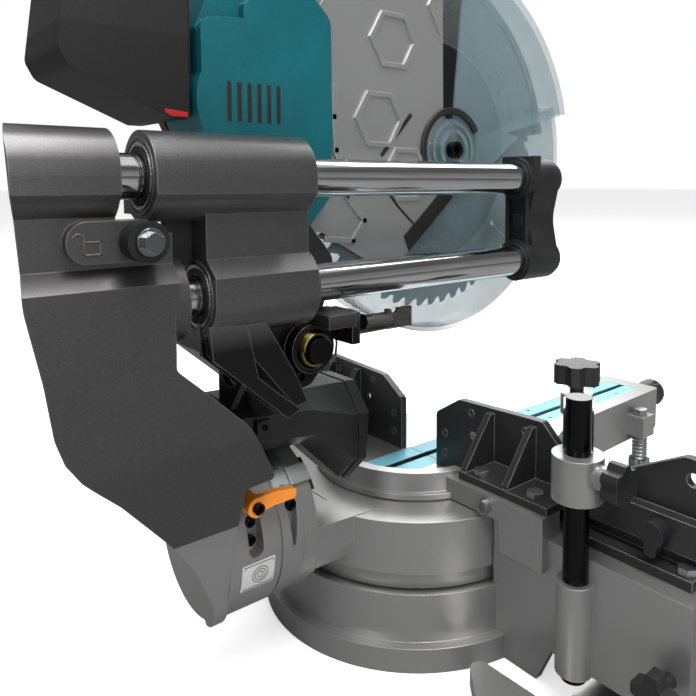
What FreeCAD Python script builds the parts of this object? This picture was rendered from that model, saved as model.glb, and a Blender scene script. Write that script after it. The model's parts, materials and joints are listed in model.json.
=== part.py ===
"""Sliding compound mitre saw: base, turntable, bevelling arm with two slide pipes, carriage, chopping head.

Millimetres. +Z is up, -Y is towards the operator, +X is the operator's right.
The origin is on the mitre pivot axis at the level of the bench. The blade lies in the plane X = 0.
"""
import FreeCAD
import Part
import math
import os

V = FreeCAD.Vector

# ---------------------------------------------------------------- driving dimensions
TABLE_Z = 118.0          # table height above the bench
DISC_R = 133.0           # turntable disc and drum
DRUM_Z = 74.0            # bottom of the drum, above the base ring
RING_R = 138.0           # base ring under the drum
DECK_FRONT, DECK_REAR = -78.0, 30.0
FENCE_Y = -12.0          # fence face, towards the work
FENCE_TOP = 194.0
WING_X = 300.0           # half width of the base casting

PIPE_R = 14.0
PIPE_X = -76.5
UPPER_Z = 396.0
LOWER_Z = 319.0
HOUSING_R = 28.0         # bearing housings and pipe clamps
SIDE_X = PIPE_X - HOUSING_R
WEB_X = PIPE_X - 15.5
ARM_UPPER_Y = 315.0      # front face of the upper pipe clamp
ARM_LOWER_Y = 276.0      # front face of the lower pipe clamp
ARM_REAR_Y = 371.0
REAR_SLANT = 0.25        # the arm's rear face runs forward this much for each mm to the right
PIPE_END_Y = 351.0       # rear ends of both pipes, inside the arm
CAR_UPPER_Y = (184.0, 295.0)
CAR_LOWER_Y = (182.0, 260.0)
CAP_Y = (-107.0, -57.0)

LOCK_Y, LOCK_Z = 304.0, 359.0        # slide lock bolt, along X
HUB_R = 62.0             # bevel hub, its axis runs along Y at table height
HUB_SEAM_Y = 171.0

PIVOT_Y, PIVOT_Z = 170.0, 270.0      # chop pivot, along X
BLADE_Y, BLADE_Z = -19.0, 423.0      # blade centre with the head raised
BLADE_R = 152.5
GUARD_R = 174.0
CASE_R = 186.0
SHAFT_Y, SHAFT_Z = 36.0, 452.0       # gear shaft, along X
MOTOR_Y, MOTOR_Z = 198.0, 450.0      # motor axis, along X
BARREL_R = 44.0
PINION_TEETH, GEAR_TEETH = 12, 44
GEAR_DISTANCE = math.hypot(SHAFT_Y - BLADE_Y, SHAFT_Z - BLADE_Z)
LOCK_BUTTON_Y, LOCK_BUTTON_Z = -52.0, 440.0     # spindle lock button
MODULE = 2 * GEAR_DISTANCE / (PINION_TEETH + GEAR_TEETH)
SMALL_PULLEY_R, BIG_PULLEY_R = 14.0, 26.0
BELT_X = (47.0, 59.0)

VISE_X, VISE_Y, VISE_R = 213.0, 33.0, 9.5
VISE_TOP = 238.0
VISE_SCREW = (-146.0, -62.0)     # clamp screw, in front of the fence
VISE_COLLAR_Z = (163.0, 196.0)
VISE_ARM_Z = 205.0
VISE_KNOB_Z = 184.0
DUCT_X = -24.0
RELEASE_X, RELEASE_Y, RELEASE_Z = -50.0, 218.0, 163.0    # bevel release lever
FLANGE_Y = 232.0     # rear end of the arm's hub flange
STOP_X, STOP_Z = -80.0, 283.0
BENCH_HOLES = [(-234.0, -104.0), (234.0, -104.0), (-234.0, 104.0), (234.0, 104.0)]
BENCH_R = 5.5
SUPPORT_Y = (-50.0, 4.0)
SUPPORT_Z, SUPPORT_R = 62.0, 6.0
ARM_FRONT_Y = -405.0     # front end of the turntable arm
LEVEL_X, LEVEL_Y = -52.0, -339.0     # levelling screw
KERF_GAP = 4.2
KERF_RELIEF = 7.6        # half gap under the boards, wider for bevel cuts
KERF_SCREW_Y = (-60.0, -200.0, -340.0)
RUN = 0.06               # radial clearance of a running fit

OUT = "parts"
os.makedirs(OUT, exist_ok=True)


# ---------------------------------------------------------------- helpers
def box(x0, x1, y0, y1, z0, z1):
    return Part.makeBox(x1 - x0, y1 - y0, z1 - z0, V(x0, y0, z0))


def side_box(side, x0, x1, y0, y1, z0, z1):
    """A box given for the right side, mirrored for the left where side is -1."""
    return box(min(side * x0, side * x1), max(side * x0, side * x1), y0, y1, z0, z1)


def cyl_x(x0, x1, y, z, r):
    return Part.makeCylinder(r, x1 - x0, V(x0, y, z), V(1, 0, 0))


def cyl_y(y0, y1, x, z, r):
    return Part.makeCylinder(r, y1 - y0, V(x, y0, z), V(0, 1, 0))


def cyl_z(z0, z1, x, y, r):
    return Part.makeCylinder(r, z1 - z0, V(x, y, z0), V(0, 0, 1))


def tube_x(x0, x1, y, z, r_in, r_out):
    return cyl_x(x0, x1, y, z, r_out).cut(cyl_x(x0 - 1, x1 + 1, y, z, r_in))


def tube_z(z0, z1, x, y, inner, outer):
    return cyl_z(z0, z1, x, y, outer).cut(cyl_z(z0 - 1, z1 + 1, x, y, inner))


def tube_y(y0, y1, x, z, r_in, r_out):
    return cyl_y(y0, y1, x, z, r_out).cut(cyl_y(y0 - 1, y1 + 1, x, z, r_in))


def fuse(first, *rest):
    shape = first
    for other in rest:
        shape = shape.fuse(other)
    return shape.removeSplitter()


def cut(first, *rest):
    shape = first
    for other in rest:
        shape = shape.cut(other)
    return shape


def rounded_wire(points, radius, place):
    """A closed outline. radius rounds every corner, or is a list with one for each corner."""
    n = len(points)
    radii = radius if isinstance(radius, (list, tuple)) else [radius] * n
    corners = []
    for i in range(n):
        p, a, b = (V(*points[j % n], 0) for j in (i, i - 1, i + 1))
        if radii[i] <= 0:
            corners.append((p, None, p))
            continue
        u, w = (a - p).normalize(), (b - p).normalize()
        half = u.getAngle(w) / 2
        centre = p + (u + w).normalize() * (radii[i] / math.sin(half))
        run = radii[i] / math.tan(half)
        corners.append((p + u * run, centre + (p - centre).normalize() * radii[i], p + w * run))
    edges = []
    for i, (start, middle, end) in enumerate(corners):
        if middle is not None:
            edges.append(Part.Arc(place(start), place(middle), place(end)).toShape())
        following = corners[(i + 1) % n][0]
        if (following - end).Length > 1e-6:
            edges.append(Part.makeLine(place(end), place(following)))
    return Part.Wire(edges)


def plate_x(points, x0, x1, radius=0.0):
    """An outline given as (y, z), made solid from x0 to x1."""
    wire = rounded_wire(points, radius, lambda p: V(x0, p.x, p.y))
    return Part.Face(wire).extrude(V(x1 - x0, 0, 0))


def plate_y(points, y0, y1, radius=0.0):
    """An outline given as (x, z), made solid from y0 to y1."""
    wire = rounded_wire(points, radius, lambda p: V(p.x, y0, p.y))
    return Part.Face(wire).extrude(V(0, y1 - y0, 0))


def plate_z(points, z0, z1, radius=0.0):
    """An outline given as (x, y), made solid from z0 to z1."""
    wire = rounded_wire(points, radius, lambda p: V(p.x, p.y, z0))
    return Part.Face(wire).extrude(V(0, 0, z1 - z0))


def sector_x(r0, r1, from_deg, to_deg, x0, x1, y, z):
    """A ring sector about an axis along X. Angles run from +Y towards +Z."""
    ring = Part.makeCylinder(r1, x1 - x0, V(0, 0, 0), V(0, 0, 1), to_deg - from_deg)
    if r0 > 0:
        ring = ring.cut(Part.makeCylinder(r0, x1 - x0))
    ring.rotate(V(0, 0, 0), V(0, 0, 1), from_deg)
    ring.rotate(V(0, 0, 0), V(1, 1, 1), 120)
    ring.translate(V(x0, y, z))
    return ring


def along(shape, point, direction):
    """Takes a shape modelled about +Z at the origin to a point and direction."""
    turned = shape.copy()
    turned.Placement = FreeCAD.Placement(V(*point), FreeCAD.Rotation(V(0, 0, 1), V(*direction)))
    return turned


def ngon(n, r, turn=0.0):
    return [(r * math.cos(math.radians(turn) + 2 * math.pi * i / n),
             r * math.sin(math.radians(turn) + 2 * math.pi * i / n)) for i in range(n)]


def cap_screw(head_r, head_h, shank_r, shank_l):
    """About +Z: the head stands on Z = 0 and the shank goes down."""
    head = cyl_z(0, head_h, 0, 0, head_r).cut(plate_z(ngon(6, head_r * 0.58), head_h * 0.4, head_h + 1))
    return fuse(head, cyl_z(-shank_l, 0, 0, 0, shank_r))


def hex_bolt(across_r, head_h, shank_r, shank_l):
    return fuse(plate_z(ngon(6, across_r), 0, head_h), cyl_z(-shank_l, 0, 0, 0, shank_r))


def lobed_knob(lobes, r_out, r_in, height):
    """A hand knob about +Z, standing on Z = 0."""
    points = []
    for i in range(lobes):
        tip = 2 * math.pi * i / lobes
        gap = tip + math.pi / lobes
        spread = 0.34 * math.pi / lobes
        points += [(r_out * math.cos(tip - spread), r_out * math.sin(tip - spread)),
                   (r_out * math.cos(tip + spread), r_out * math.sin(tip + spread)),
                   (r_in * math.cos(gap), r_in * math.sin(gap))]
    return plate_z(points, 0, height, r_out * 0.1)


def coil_spring(r_mean, r_wire, length, turns):
    """A compression spring about +Z from Z = 0, built as a stack of closed rings on a thin sleeve."""
    rings = [Part.makeTorus(r_mean, r_wire, V(0, 0, r_wire + i * (length - 2 * r_wire) / turns))
             for i in range(turns + 1)]
    sleeve = cyl_z(r_wire, length - r_wire, 0, 0, r_mean + r_wire * 0.3).cut(
        cyl_z(0, length, 0, 0, r_mean - r_wire * 0.3))
    return fuse(sleeve, *rings)


def spur_gear(teeth, module, x0, x1, y, z, bore_r, turn=0.0):
    """A spur gear about an axis along X with straight-flanked teeth, a little thin for backlash."""
    pitch_r = module * teeth / 2
    root, tip = pitch_r - 1.2 * module, pitch_r + 0.9 * module
    step = 2 * math.pi / teeth
    points = []
    for i in range(teeth):
        a = i * step + math.radians(turn)
        for r, share in ((root, -0.34), (tip, -0.11), (tip, 0.11), (root, 0.34)):
            points.append((y + r * math.cos(a + share * step), z + r * math.sin(a + share * step)))
    gear = plate_x(points, x0, x1)
    return gear.cut(cyl_x(x0 - 1, x1 + 1, y, z, bore_r))


def bearing_x(x0, x1, y, z, r_in, r_out):
    """A sealed ball bearing as one closed ring with a groove each side."""
    ring = tube_x(x0, x1, y, z, r_in, r_out)
    mid = (r_in + r_out) / 2
    half = (r_out - r_in) / 6
    for start in (x0 - 1, x1 - 0.6):
        ring = ring.cut(tube_x(start, start + 1.6, y, z, mid - half, mid + half))
    return ring


def save(name, shape):
    solids = shape.Solids
    result = solids[0] if len(solids) == 1 else Part.makeCompound(solids)
    result.exportStep(os.path.join(OUT, name + ".step"))


# ---------------------------------------------------------------- base
def base_casting():
    """Deck and wings, the ring under the turntable, the rear arch over it, bosses and bench feet."""
    deck = box(-WING_X, WING_X, DECK_FRONT, DECK_REAR, 0, TABLE_Z)
    for s in (-1, 1):
        deck = deck.cut(side_box(s, 150, WING_X - 7, DECK_FRONT + 7, DECK_REAR - 7, -1, TABLE_Z - 8))
        ends = [(s * 176, -1), (s * 190, 30), (s * 262, 30), (s * 276, -1)]
        deck = deck.cut(plate_y(ends, DECK_FRONT - 1, DECK_REAR + 1))
        for x in (205, 260):
            rib = side_box(s, x, x + 5, DECK_FRONT + 1, DECK_REAR - 1, 30, TABLE_Z - 1)
            deck = deck.fuse(rib)
    ring = cyl_z(0, DRUM_Z - 14, 0, 0, RING_R)
    skirt = cyl_z(0, 20, 0, 0, RING_R + 9)
    front = cyl_z(0, 58, 0, 0, 186).cut(box(-200, 200, DECK_FRONT, 200, -1, 60))
    body = fuse(deck, ring, skirt, front)
    front_hollow = tube_z(-1, 50, 0, 0, 147, 180).common(box(-200, 200, -200, DECK_FRONT - 8, -2, 60))
    body = body.cut(front_hollow)
    body = body.cut(cyl_z(DRUM_Z - 14, 200, 0, 0, DISC_R + 1.5))
    body = body.cut(cyl_z(8, DRUM_Z, 0, 0, 118).cut(cyl_z(0, 60, 0, 0, 34)))
    swing = [(-137, -4), (-181, -84), (-181, -300), (181, -300), (181, -84), (137, -4)]
    body = body.cut(plate_z(swing, 58, 200))
    body = body.cut(cyl_z(-1, 70, 0, 0, 8 + RUN)).cut(cyl_z(-1, 12, 0, 0, 18))
    for x, y in BENCH_HOLES:
        s = 1 if x > 0 else -1
        inward = 130 if y > 0 else 150
        lug = plate_z([(s * inward, y / 1.7), (x + s * 24, y * 0.55), (x + s * 24, y * 1.2),
                       (x - s * 24, y * 1.2)], 0, 14, 8)
        stem = side_box(s, 216, 252, min(y, 0), max(y, 0), 0, 14)
        body = body.fuse(lug).fuse(stem)
    body = body.cut(cyl_z(-1, 15, 0, 0, 18))
    for x, y in BENCH_HOLES:
        body = body.cut(cyl_z(-1, 16, x, y, BENCH_R))
    for s in (-1, 1):
        boss = cyl_z(30, 100, s * VISE_X, VISE_Y, 14)
        body = body.fuse(boss).cut(cyl_z(20, 200, s * VISE_X, VISE_Y, VISE_R + RUN))
        for y in SUPPORT_Y:
            sleeve0, sleeve1 = sorted((s * 210, s * WING_X))
            drill0, drill1 = sorted((s * 200, s * (WING_X + 1)))
            body = body.fuse(cyl_x(sleeve0, sleeve1, y, SUPPORT_Z, 11))
            body = body.cut(cyl_x(drill0, drill1, y, SUPPORT_Z, SUPPORT_R + RUN))
    body = body.cut(cyl_z(58.2, 200, 0, 0, DISC_R + 1.5))
    return fuse(body, rear_bridge())


def rear_bridge():
    """The band that joins the two wings behind the fence and arches round the back of the table disc."""
    z0, z1 = TABLE_Z + 1.2, 141.0
    band = cyl_z(z0, z1, 0, 0, 91).cut(cyl_z(z0 - 1, z1 + 1, 0, 0, 81))
    band = band.cut(box(-100, 100, -100, 22, 0, 200))
    lip = cyl_z(z0, z0 + 5, 0, 0, 96).cut(cyl_z(z0 - 1, z1, 0, 0, 81)).cut(box(-100, 100, -100, 22, 0, 200))
    runs = [side_box(s, 76, 186, 16, 38, z0, 137) for s in (-1, 1)]
    posts = [side_box(s, 144, 186, 8, 38, TABLE_Z - 24, z0 + 2) for s in (-1, 1)]
    screws = [cyl_y(20, 60, s * 129, 128, 4.2) for s in (-1, 1)]
    screws += [cyl_z(128, 150, s * x, 24, 4.2) for s in (-1, 1) for x in (112, 168)]
    return cut(fuse(band, lip, *runs, *posts), *screws)


def mitre_scale():
    """Graduated plate on the front of the base ring, with a detent notch at each common angle."""
    plate = cyl_z(58.2, 60.6, 0, 0, 184).cut(cyl_z(50, 70, 0, 0, 152))
    plate = plate.cut(box(-200, 200, DECK_FRONT - 1.2, 200, 50, 70))
    for angle in (0, 15, 22.5, 31.6, 45):
        for s in ((-1, 1) if angle else (1,)):
            a = math.radians(270 + s * angle)
            plate = plate.cut(cyl_z(50, 70, 184 * math.cos(a), 184 * math.sin(a), 4))
    return plate


def lower_fence(side):
    """Fixed fence of one side: plate, foot flange and two triangular ribs behind."""
    outline = [(side * 26, TABLE_Z + 0.2), (side * 298, TABLE_Z + 0.2), (side * 298, 154), (side * 186, 154),
               (side * 172, 175), (side * 152, FENCE_TOP), (side * 56, FENCE_TOP - 4), (side * 26, 171)]
    plate = plate_y(outline, FENCE_Y, FENCE_Y + 7, [0, 0, 4, 10, 10, 5, 5, 5])
    flange = side_box(side, 190, 292, FENCE_Y + 6, 15, TABLE_Z + 0.2, TABLE_Z + 8)
    shelf = side_box(side, 93, 186, FENCE_Y + 6, 33, 137.2, 144)
    ribs = []
    for x in (94, 140):
        rib = plate_x([(FENCE_Y + 6, 140), (31, 140), (31, 147), (FENCE_Y + 12, FENCE_TOP - 6),
                       (FENCE_Y + 6, FENCE_TOP - 6)], side * x, side * (x + 6))
        ribs.append(rib)
    rail = side_box(side, 182, 296, FENCE_Y + 6, -1, 120, 153)
    body = fuse(plate, flange, shelf, rail, *ribs)
    groove = side_box(side, 180, 300, FENCE_Y + 11.5, 0, 138, 146)
    for x in (112, 168):
        body = body.cut(cyl_z(130, 150, side * x, 24, 4.3))
    for x in (200, 284):
        body = body.cut(cyl_z(110, 130, side * x, 7, 4.3))
    return body.cut(groove)


def base_bolts():
    """Screws of the rear bridge and of the lower fence."""
    bolts = [along(cap_screw(6.5, 6, 4, 14), (s * 129, 38.2, 128), (0, 1, 0)) for s in (-1, 1)]
    for s in (-1, 1):
        bolts += [along(hex_bolt(7.2, 5, 4, 13), (s * x, 24, 144.2), (0, 0, 1)) for x in (112, 168)]
        bolts += [along(hex_bolt(6.6, 5, 4, 8), (s * x, 7, 126.2), (0, 0, 1)) for x in (200, 284)]
    return Part.makeCompound(bolts)


def sliding_fence(side):
    """Tall outer fence. Its tongue runs in the groove of the lower fence."""
    outline = [(side * 196, 154.4), (side * 322, 154.4), (side * 322, 186), (side * 312, 202),
               (side * 274, 202),
               (side * 216, 172), (side * 196, 168)]
    plate = plate_y(outline, FENCE_Y, FENCE_Y + 7, [0, 0, 6, 6, 8, 8, 4])
    plate = plate.cut(cyl_y(-20, 10, side * 281, 187, 5))
    back = side_box(side, 206, 316, FENCE_Y + 6.9, 5, 154.4, 160)
    web = side_box(side, 206, 316, 0, 5, 136, 160)
    tongue = side_box(side, 206, 316, FENCE_Y + 12, 1, 138.4, 145.6)
    ribs = [plate_x([(FENCE_Y + 6, 159), (4, 159), (FENCE_Y + 7, 178)], side * x, side * (x + 5))
            for x in (232, 306)]
    body = fuse(plate, back, web, tongue, *ribs)
    return body.cut(cyl_y(-2, 10, side * 262, 148, 4.2))


def fence_lock(side):
    """Clamp screw with a small lever, behind the sliding fence."""
    x = side * 262
    screw = cyl_y(1.2, 12, x, 148, 4)
    boss = cyl_y(5.3, 17, x, 148, 9)
    lever = plate_y([(x - 5, 148), (x + 5, 148), (x + 4, 132), (x - 4, 132)], 10, 17, [0, 0, 3.5, 3.5])
    return fuse(screw, boss, lever)


def pivot_bolt():
    return fuse(cyl_z(2, 88, 0, 0, 8), plate_z(ngon(6, 14), 2, 11.8))


def support_wing(side):
    """Pull-out work support: two rods joined by an end plate."""
    x0, x1 = sorted((side * 214, side * (WING_X + 9)))
    rods = [cyl_x(x0, x1, y, SUPPORT_Z, SUPPORT_R) for y in SUPPORT_Y]
    plate = side_box(side, WING_X + 0.6, WING_X + 13, SUPPORT_Y[0] - 16, SUPPORT_Y[1] + 16, 46, TABLE_Z)
    top = side_box(side, WING_X + 0.6, WING_X + 30, SUPPORT_Y[0] - 16, SUPPORT_Y[1] + 16, TABLE_Z - 6,
                   TABLE_Z)
    return fuse(plate, top, *rods)


def support_lock(side):
    """Wing screw under the deck that holds the support rods."""
    x = side * 286
    knob = along(lobed_knob(4, 15, 9, 11), (x, SUPPORT_Y[1] + 40, SUPPORT_Z), (0, 1, 0))
    return fuse(knob, cyl_y(DECK_REAR + 0.4, SUPPORT_Y[1] + 42, x, SUPPORT_Z, 5))


# ---------------------------------------------------------------- vise
def vise_post():
    return cyl_z(24, VISE_TOP, -VISE_X, VISE_Y, VISE_R)


def vise_arm():
    """Collar on the post, with a tall tapered arm that reaches over the fence to the clamp screw."""
    x, y = -VISE_X, VISE_Y
    sx, sy = VISE_SCREW
    reach = math.hypot(sx - x, sy - y)
    z0, z1 = VISE_COLLAR_Z
    collar = cyl_z(z0, z1, x, y, 19)
    profile = [(4, z0 + 6), (4, z1 + 32), (26, z1 + 34), (72, VISE_ARM_Z), (reach + 6, VISE_ARM_Z),
               (reach + 6, VISE_ARM_Z - 15), (64, VISE_ARM_Z - 19), (26, z0 + 6)]
    web = plate_y(profile, -11, 11, [0, 5, 10, 14, 5, 5, 14, 8])
    web.rotate(V(0, 0, 0), V(0, 0, 1), math.degrees(math.atan2(sy - y, sx - x)))
    web.translate(V(x, y, 0))
    nut = cyl_z(VISE_ARM_Z - 17, VISE_ARM_Z + 1, sx, sy, 14)
    ear = cyl_x(x - 26, x, y, VISE_KNOB_Z, 9)
    body = fuse(collar, web, nut, ear)
    return cut(body, cyl_z(150, 260, x, y, VISE_R + RUN), cyl_z(150, 260, sx, sy, 6 + RUN),
               cyl_x(x - 31, x - 5, y, VISE_KNOB_Z, 4 + RUN), cyl_z(z1 + 1, 260, x, y, VISE_R + 2))


def vise_arm_knob():
    x, y = -VISE_X, VISE_Y
    knob = along(lobed_knob(6, 15, 11.5, 13), (x - 27, y, VISE_KNOB_Z), (-1, 0, 0))
    return fuse(knob, cyl_x(x - 28, x - VISE_R - 0.8, y, VISE_KNOB_Z, 4))


def vise_screw():
    """Clamp screw with its lobed knob."""
    x, y = VISE_SCREW
    knob = lobed_knob(6, 21, 16, 17)
    knob.translate(V(x, y, 216))
    return fuse(cyl_z(142, 232, x, y, 6), knob)


def vise_pad():
    x, y = VISE_SCREW
    pad = fuse(cyl_z(130, 137, x, y, 19), cyl_z(136, 145, x, y, 10))
    return pad.cut(cyl_z(141.6, 150, x, y, 6.4))


# ---------------------------------------------------------------- turntable
def turntable_casting():
    """Disc on a drum, the long arm to the front with its kerf slot, and the neck to the bevel hub."""
    drum = cyl_z(DRUM_Z, TABLE_Z, 0, 0, DISC_R)
    drum = drum.cut(cyl_z(DRUM_Z - 1, TABLE_Z - 8, 0, 0, DISC_R - 7))
    step = cyl_z(60.4, DRUM_Z + 4, 0, 0, DISC_R - 4).cut(cyl_z(50, DRUM_Z + 5, 0, 0, DISC_R - 12))
    hub = cyl_z(61, TABLE_Z - 1, 0, 0, 26)
    spokes = [box(-130, 130, -3, 3, 84, TABLE_Z - 1), box(-45, -39, -130, 100, 84, TABLE_Z - 1),
              box(39, 45, -130, 100, 84, TABLE_Z - 1)]
    outline = [(-78, -105), (-46, -190), (-40, ARM_FRONT_Y), (40, ARM_FRONT_Y), (46, -190), (78, -105)]
    arm = plate_z(outline, 66, TABLE_Z, [0, 30, 6, 6, 30, 0])
    inner = plate_z([(-60, -126), (-39, -196), (-33, ARM_FRONT_Y + 8), (33, ARM_FRONT_Y + 8), (39, -196),
                     (60, -126)], 60, TABLE_Z - 8, 4)
    arm = arm.cut(inner)
    body = fuse(drum, step, hub, arm, *spokes, rear_neck())
    slot = box(-22, 22, ARM_FRONT_Y + 24, -14, TABLE_Z - 4, TABLE_Z + 1)
    throat = box(-11, 11, ARM_FRONT_Y + 34, 44, 60, TABLE_Z + 1)
    rear_slot = box(-24, 24, -14.5, 50, TABLE_Z - 4, TABLE_Z + 1)
    body = cut(body, slot, throat, rear_slot, cyl_z(50, 92, 0, 0, 8 + RUN))
    ear = box(LEVEL_X - 12, -34, LEVEL_Y - 13, LEVEL_Y + 13, 74, 100)
    body = fuse(body, ear).cut(cyl_z(60, 110, LEVEL_X, LEVEL_Y, 5 + RUN))
    body = body.cut(cyl_y(ARM_FRONT_Y - 1, ARM_FRONT_Y + 30, 0, 92, 7 + RUN))
    body = body.cut(box(14, 26, ARM_FRONT_Y - 1, ARM_FRONT_Y + 12, 60, 84))
    pointer = plate_z([(-7, -190), (7, -190), (2, -160), (-2, -160)], 62,
                      64).fuse(box(-7, 7, -192, -188, 62, 70))
    rib = box(-40, 40, -196, -189, 64, 98)
    return fuse(body, pointer, rib)


def rear_neck():
    """Box from the drum back to the bevel hub, narrower below, and the front part of the hub."""
    root = plate_z([(-60, 92), (-54, 162), (54, 162), (60, 92)], 84, TABLE_Z + 0.6, 3)
    hub = cyl_y(158, HUB_SEAM_Y - 0.2, 0, TABLE_Z, HUB_R)
    body = fuse(root, hub)
    for s in (-1, 1):
        chamfer = [(s * 90, 104), (s * 58, 98), (s * 52, 84), (s * 30, 84), (s * 30, 40), (s * 90, 40)]
        body = body.cut(plate_y(chamfer, 100, 157))
    body = body.cut(cyl_y(120, 210, 0, TABLE_Z, 13 + RUN)).cut(cyl_y(120, 158.2, 0, TABLE_Z, 19))
    return body.cut(bevel_pointer())


def kerf_boards():
    """Two long insert strips beside the blade slot and the insert behind the fence."""
    strips = []
    for side in (-1, 1):
        strip = side_box(side, KERF_GAP, 21.6, ARM_FRONT_Y + 24.4, -14.9, TABLE_Z - 3.8, TABLE_Z - 0.2)
        for y in KERF_SCREW_Y:
            strip = strip.cut(cyl_z(100, 130, side * 16.5, y, 2.3))
        strips.append(strip)
    rear = box(-23.6, 23.6, -14.1, 49.6, TABLE_Z - 3.8, TABLE_Z - 0.2)
    strips.append(rear.cut(box(-KERF_GAP, KERF_GAP, -20, 36, 100, 130)))
    relief = plate_y([(-KERF_GAP - 0.1, TABLE_Z - 1), (KERF_GAP + 0.1, TABLE_Z - 1),
                      (KERF_RELIEF, TABLE_Z - 4),
                      (-KERF_RELIEF, TABLE_Z - 4)], ARM_FRONT_Y, 36)
    return Part.makeCompound([strip.cut(relief) for strip in strips])


def kerf_screws():
    screws = [cyl_z(TABLE_Z - 3.9, TABLE_Z - 1.2, s * 16.5, y, 2.2) for s in (-1, 1) for y in KERF_SCREW_Y]
    return Part.makeCompound(screws)


def mitre_grip():
    """Front grip: turning it clamps the turntable."""
    body = Part.makeCone(15, 19, 46, V(0, ARM_FRONT_Y - 8, 92), V(0, -1, 0))
    dome = Part.makeSphere(19, V(0, ARM_FRONT_Y - 52, 92))
    stem = cyl_y(ARM_FRONT_Y - 12, ARM_FRONT_Y + 28, 0, 92, 7)
    grip = fuse(body, dome, stem)
    for i in range(6):
        a = math.radians(60 * i)
        grip = grip.cut(cyl_y(ARM_FRONT_Y - 75, ARM_FRONT_Y - 12, 23 * math.cos(a), 92 + 23 * math.sin(a),
                              5.5))
    return grip


def detent_lever():
    """Thumb lever under the grip that lifts the detent out of the mitre notches."""
    lever = plate_x([(ARM_FRONT_Y + 10, 82), (ARM_FRONT_Y - 4, 84), (ARM_FRONT_Y - 40, 66),
                     (ARM_FRONT_Y - 42, 58), (ARM_FRONT_Y - 6, 70), (ARM_FRONT_Y + 10, 70)], 14.5, 25.5, 2)
    return fuse(lever, cyl_x(14.5, 25.5, ARM_FRONT_Y + 5, 76, 5))


def levelling_screw():
    """Screw with a knob under the front of the turntable arm. It stands on the bench."""
    knob = lobed_knob(8, 13, 11, 13)
    knob.translate(V(LEVEL_X, LEVEL_Y, 30))
    head = plate_z(ngon(6, 9), 100.4, 107)
    head.translate(V(LEVEL_X, LEVEL_Y, 0))
    return fuse(cyl_z(6, 101, LEVEL_X, LEVEL_Y, 5), knob, head, cyl_z(0, 7, LEVEL_X, LEVEL_Y, 11))


def levelling_spring():
    spring = coil_spring(8.2, 1.2, 30, 6)
    spring.translate(V(LEVEL_X, LEVEL_Y, 43.5))
    return spring


def bevel_scale():
    """Graduated band round the arm's hub flange."""
    band = tube_y(HUB_SEAM_Y + 2, HUB_SEAM_Y + 18, 0, TABLE_Z, HUB_R + 0.6, HUB_R + 1.6)
    return band.cut(box(-100, 100, 150, 220, 0, TABLE_Z + 33))


def bevel_release_lever():
    """Orange lever on the side of the hub; frees the bevel stop."""
    y, z = RELEASE_Y, RELEASE_Z
    boss = cyl_x(RELEASE_X - 25, RELEASE_X + 0.3, y, z, 7)
    blade = plate_x([(y + 2, z + 6.5), (y + 2, z - 6.5), (y - 14, z - 3.5), (y - 33, z - 3), (y - 34, z + 4),
                     (y - 18, z + 6.5)], RELEASE_X - 23, RELEASE_X - 17, [0, 0, 4, 2, 2, 4])
    return fuse(boss, blade)


# ---------------------------------------------------------------- bevel arm
def pipe_section():
    """Outline of the block that holds both pipes, as (x, z): flat sides, bevels and a thin web."""
    right = PIPE_X + HOUSING_R
    return [(SIDE_X, UPPER_Z), (SIDE_X, UPPER_Z - 10.4), (WEB_X, UPPER_Z - 23.4), (WEB_X, LOWER_Z + 24.6),
            (SIDE_X, LOWER_Z + 14), (SIDE_X, LOWER_Z), (right, LOWER_Z), (right, UPPER_Z)]


def arm_front_of(back):
    """Everything in front of the arm's slanted rear face, which is moved forward by back."""
    outline = [(100, 440), (100, 50), (262, 50), (262, 90), (277.2, 129), (296, 159), (326.6, 201),
               (348, 225),
               (356.3, 238), (361.2, 253), (365.5, 285), (373.5, 325), (381, 440)]
    wire = rounded_wire(outline, [0, 0, 0, 20, 30, 60, 30, 12, 10, 30, 60, 60, 0],
                        lambda p: V(-130, p.x - back, p.y))
    return Part.Face(wire).extrude(V(230, -230 * REAR_SLANT, 0))


def arm_sweep():
    """Lower arm: sweeps from the pipe clamps down and inward to the hub, hollow and open on its right."""
    side_view = [(ARM_REAR_Y + 9, 326), (ARM_REAR_Y + 9, 60), (FLANGE_Y, 60), (FLANGE_Y, 184), (211, 186),
                 (211, 190), (237, 234), (260, 256), (286, 280), (286, 326)]
    back_view = [(SIDE_X, 330), (SIDE_X, 290), (-100, 222), (-68, 140), (-52, 72), (-20, 56), (20, 56),
                 (50, 80), (64, 118), (50, 158), (6, 196), (-34, 246), (PIPE_X + HOUSING_R, 292),
                 (PIPE_X + HOUSING_R, 330)]
    sweep = plate_x(side_view, -130, 90, [0, 0, 3, 3, 2, 2, 30, 20, 6, 3]).common(
        plate_y(back_view, 190, 385, [3, 3, 50, 30, 30, 30, 30, 30, 30, 30, 40, 40, 20, 3]))
    pocket_side = [(ARM_REAR_Y + 9, 318), (ARM_REAR_Y + 9, 134), (242, 134), (242, 186), (249, 226),
                   (272, 248),
                   (296, 276), (296, 318)]
    pocket_back = [(SIDE_X + 8, 330), (SIDE_X + 8, 291), (-91, 222), (-60, 140), (120, 140), (120, 330)]
    pocket = plate_x(pocket_side, -130, 90, [0, 0, 6, 6, 6, 6, 6, 6]).common(
        plate_y(pocket_back, 180, 400, [0, 20, 40, 10, 0, 0]))
    return sweep.cut(pocket.common(arm_front_of(8.5)))


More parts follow.
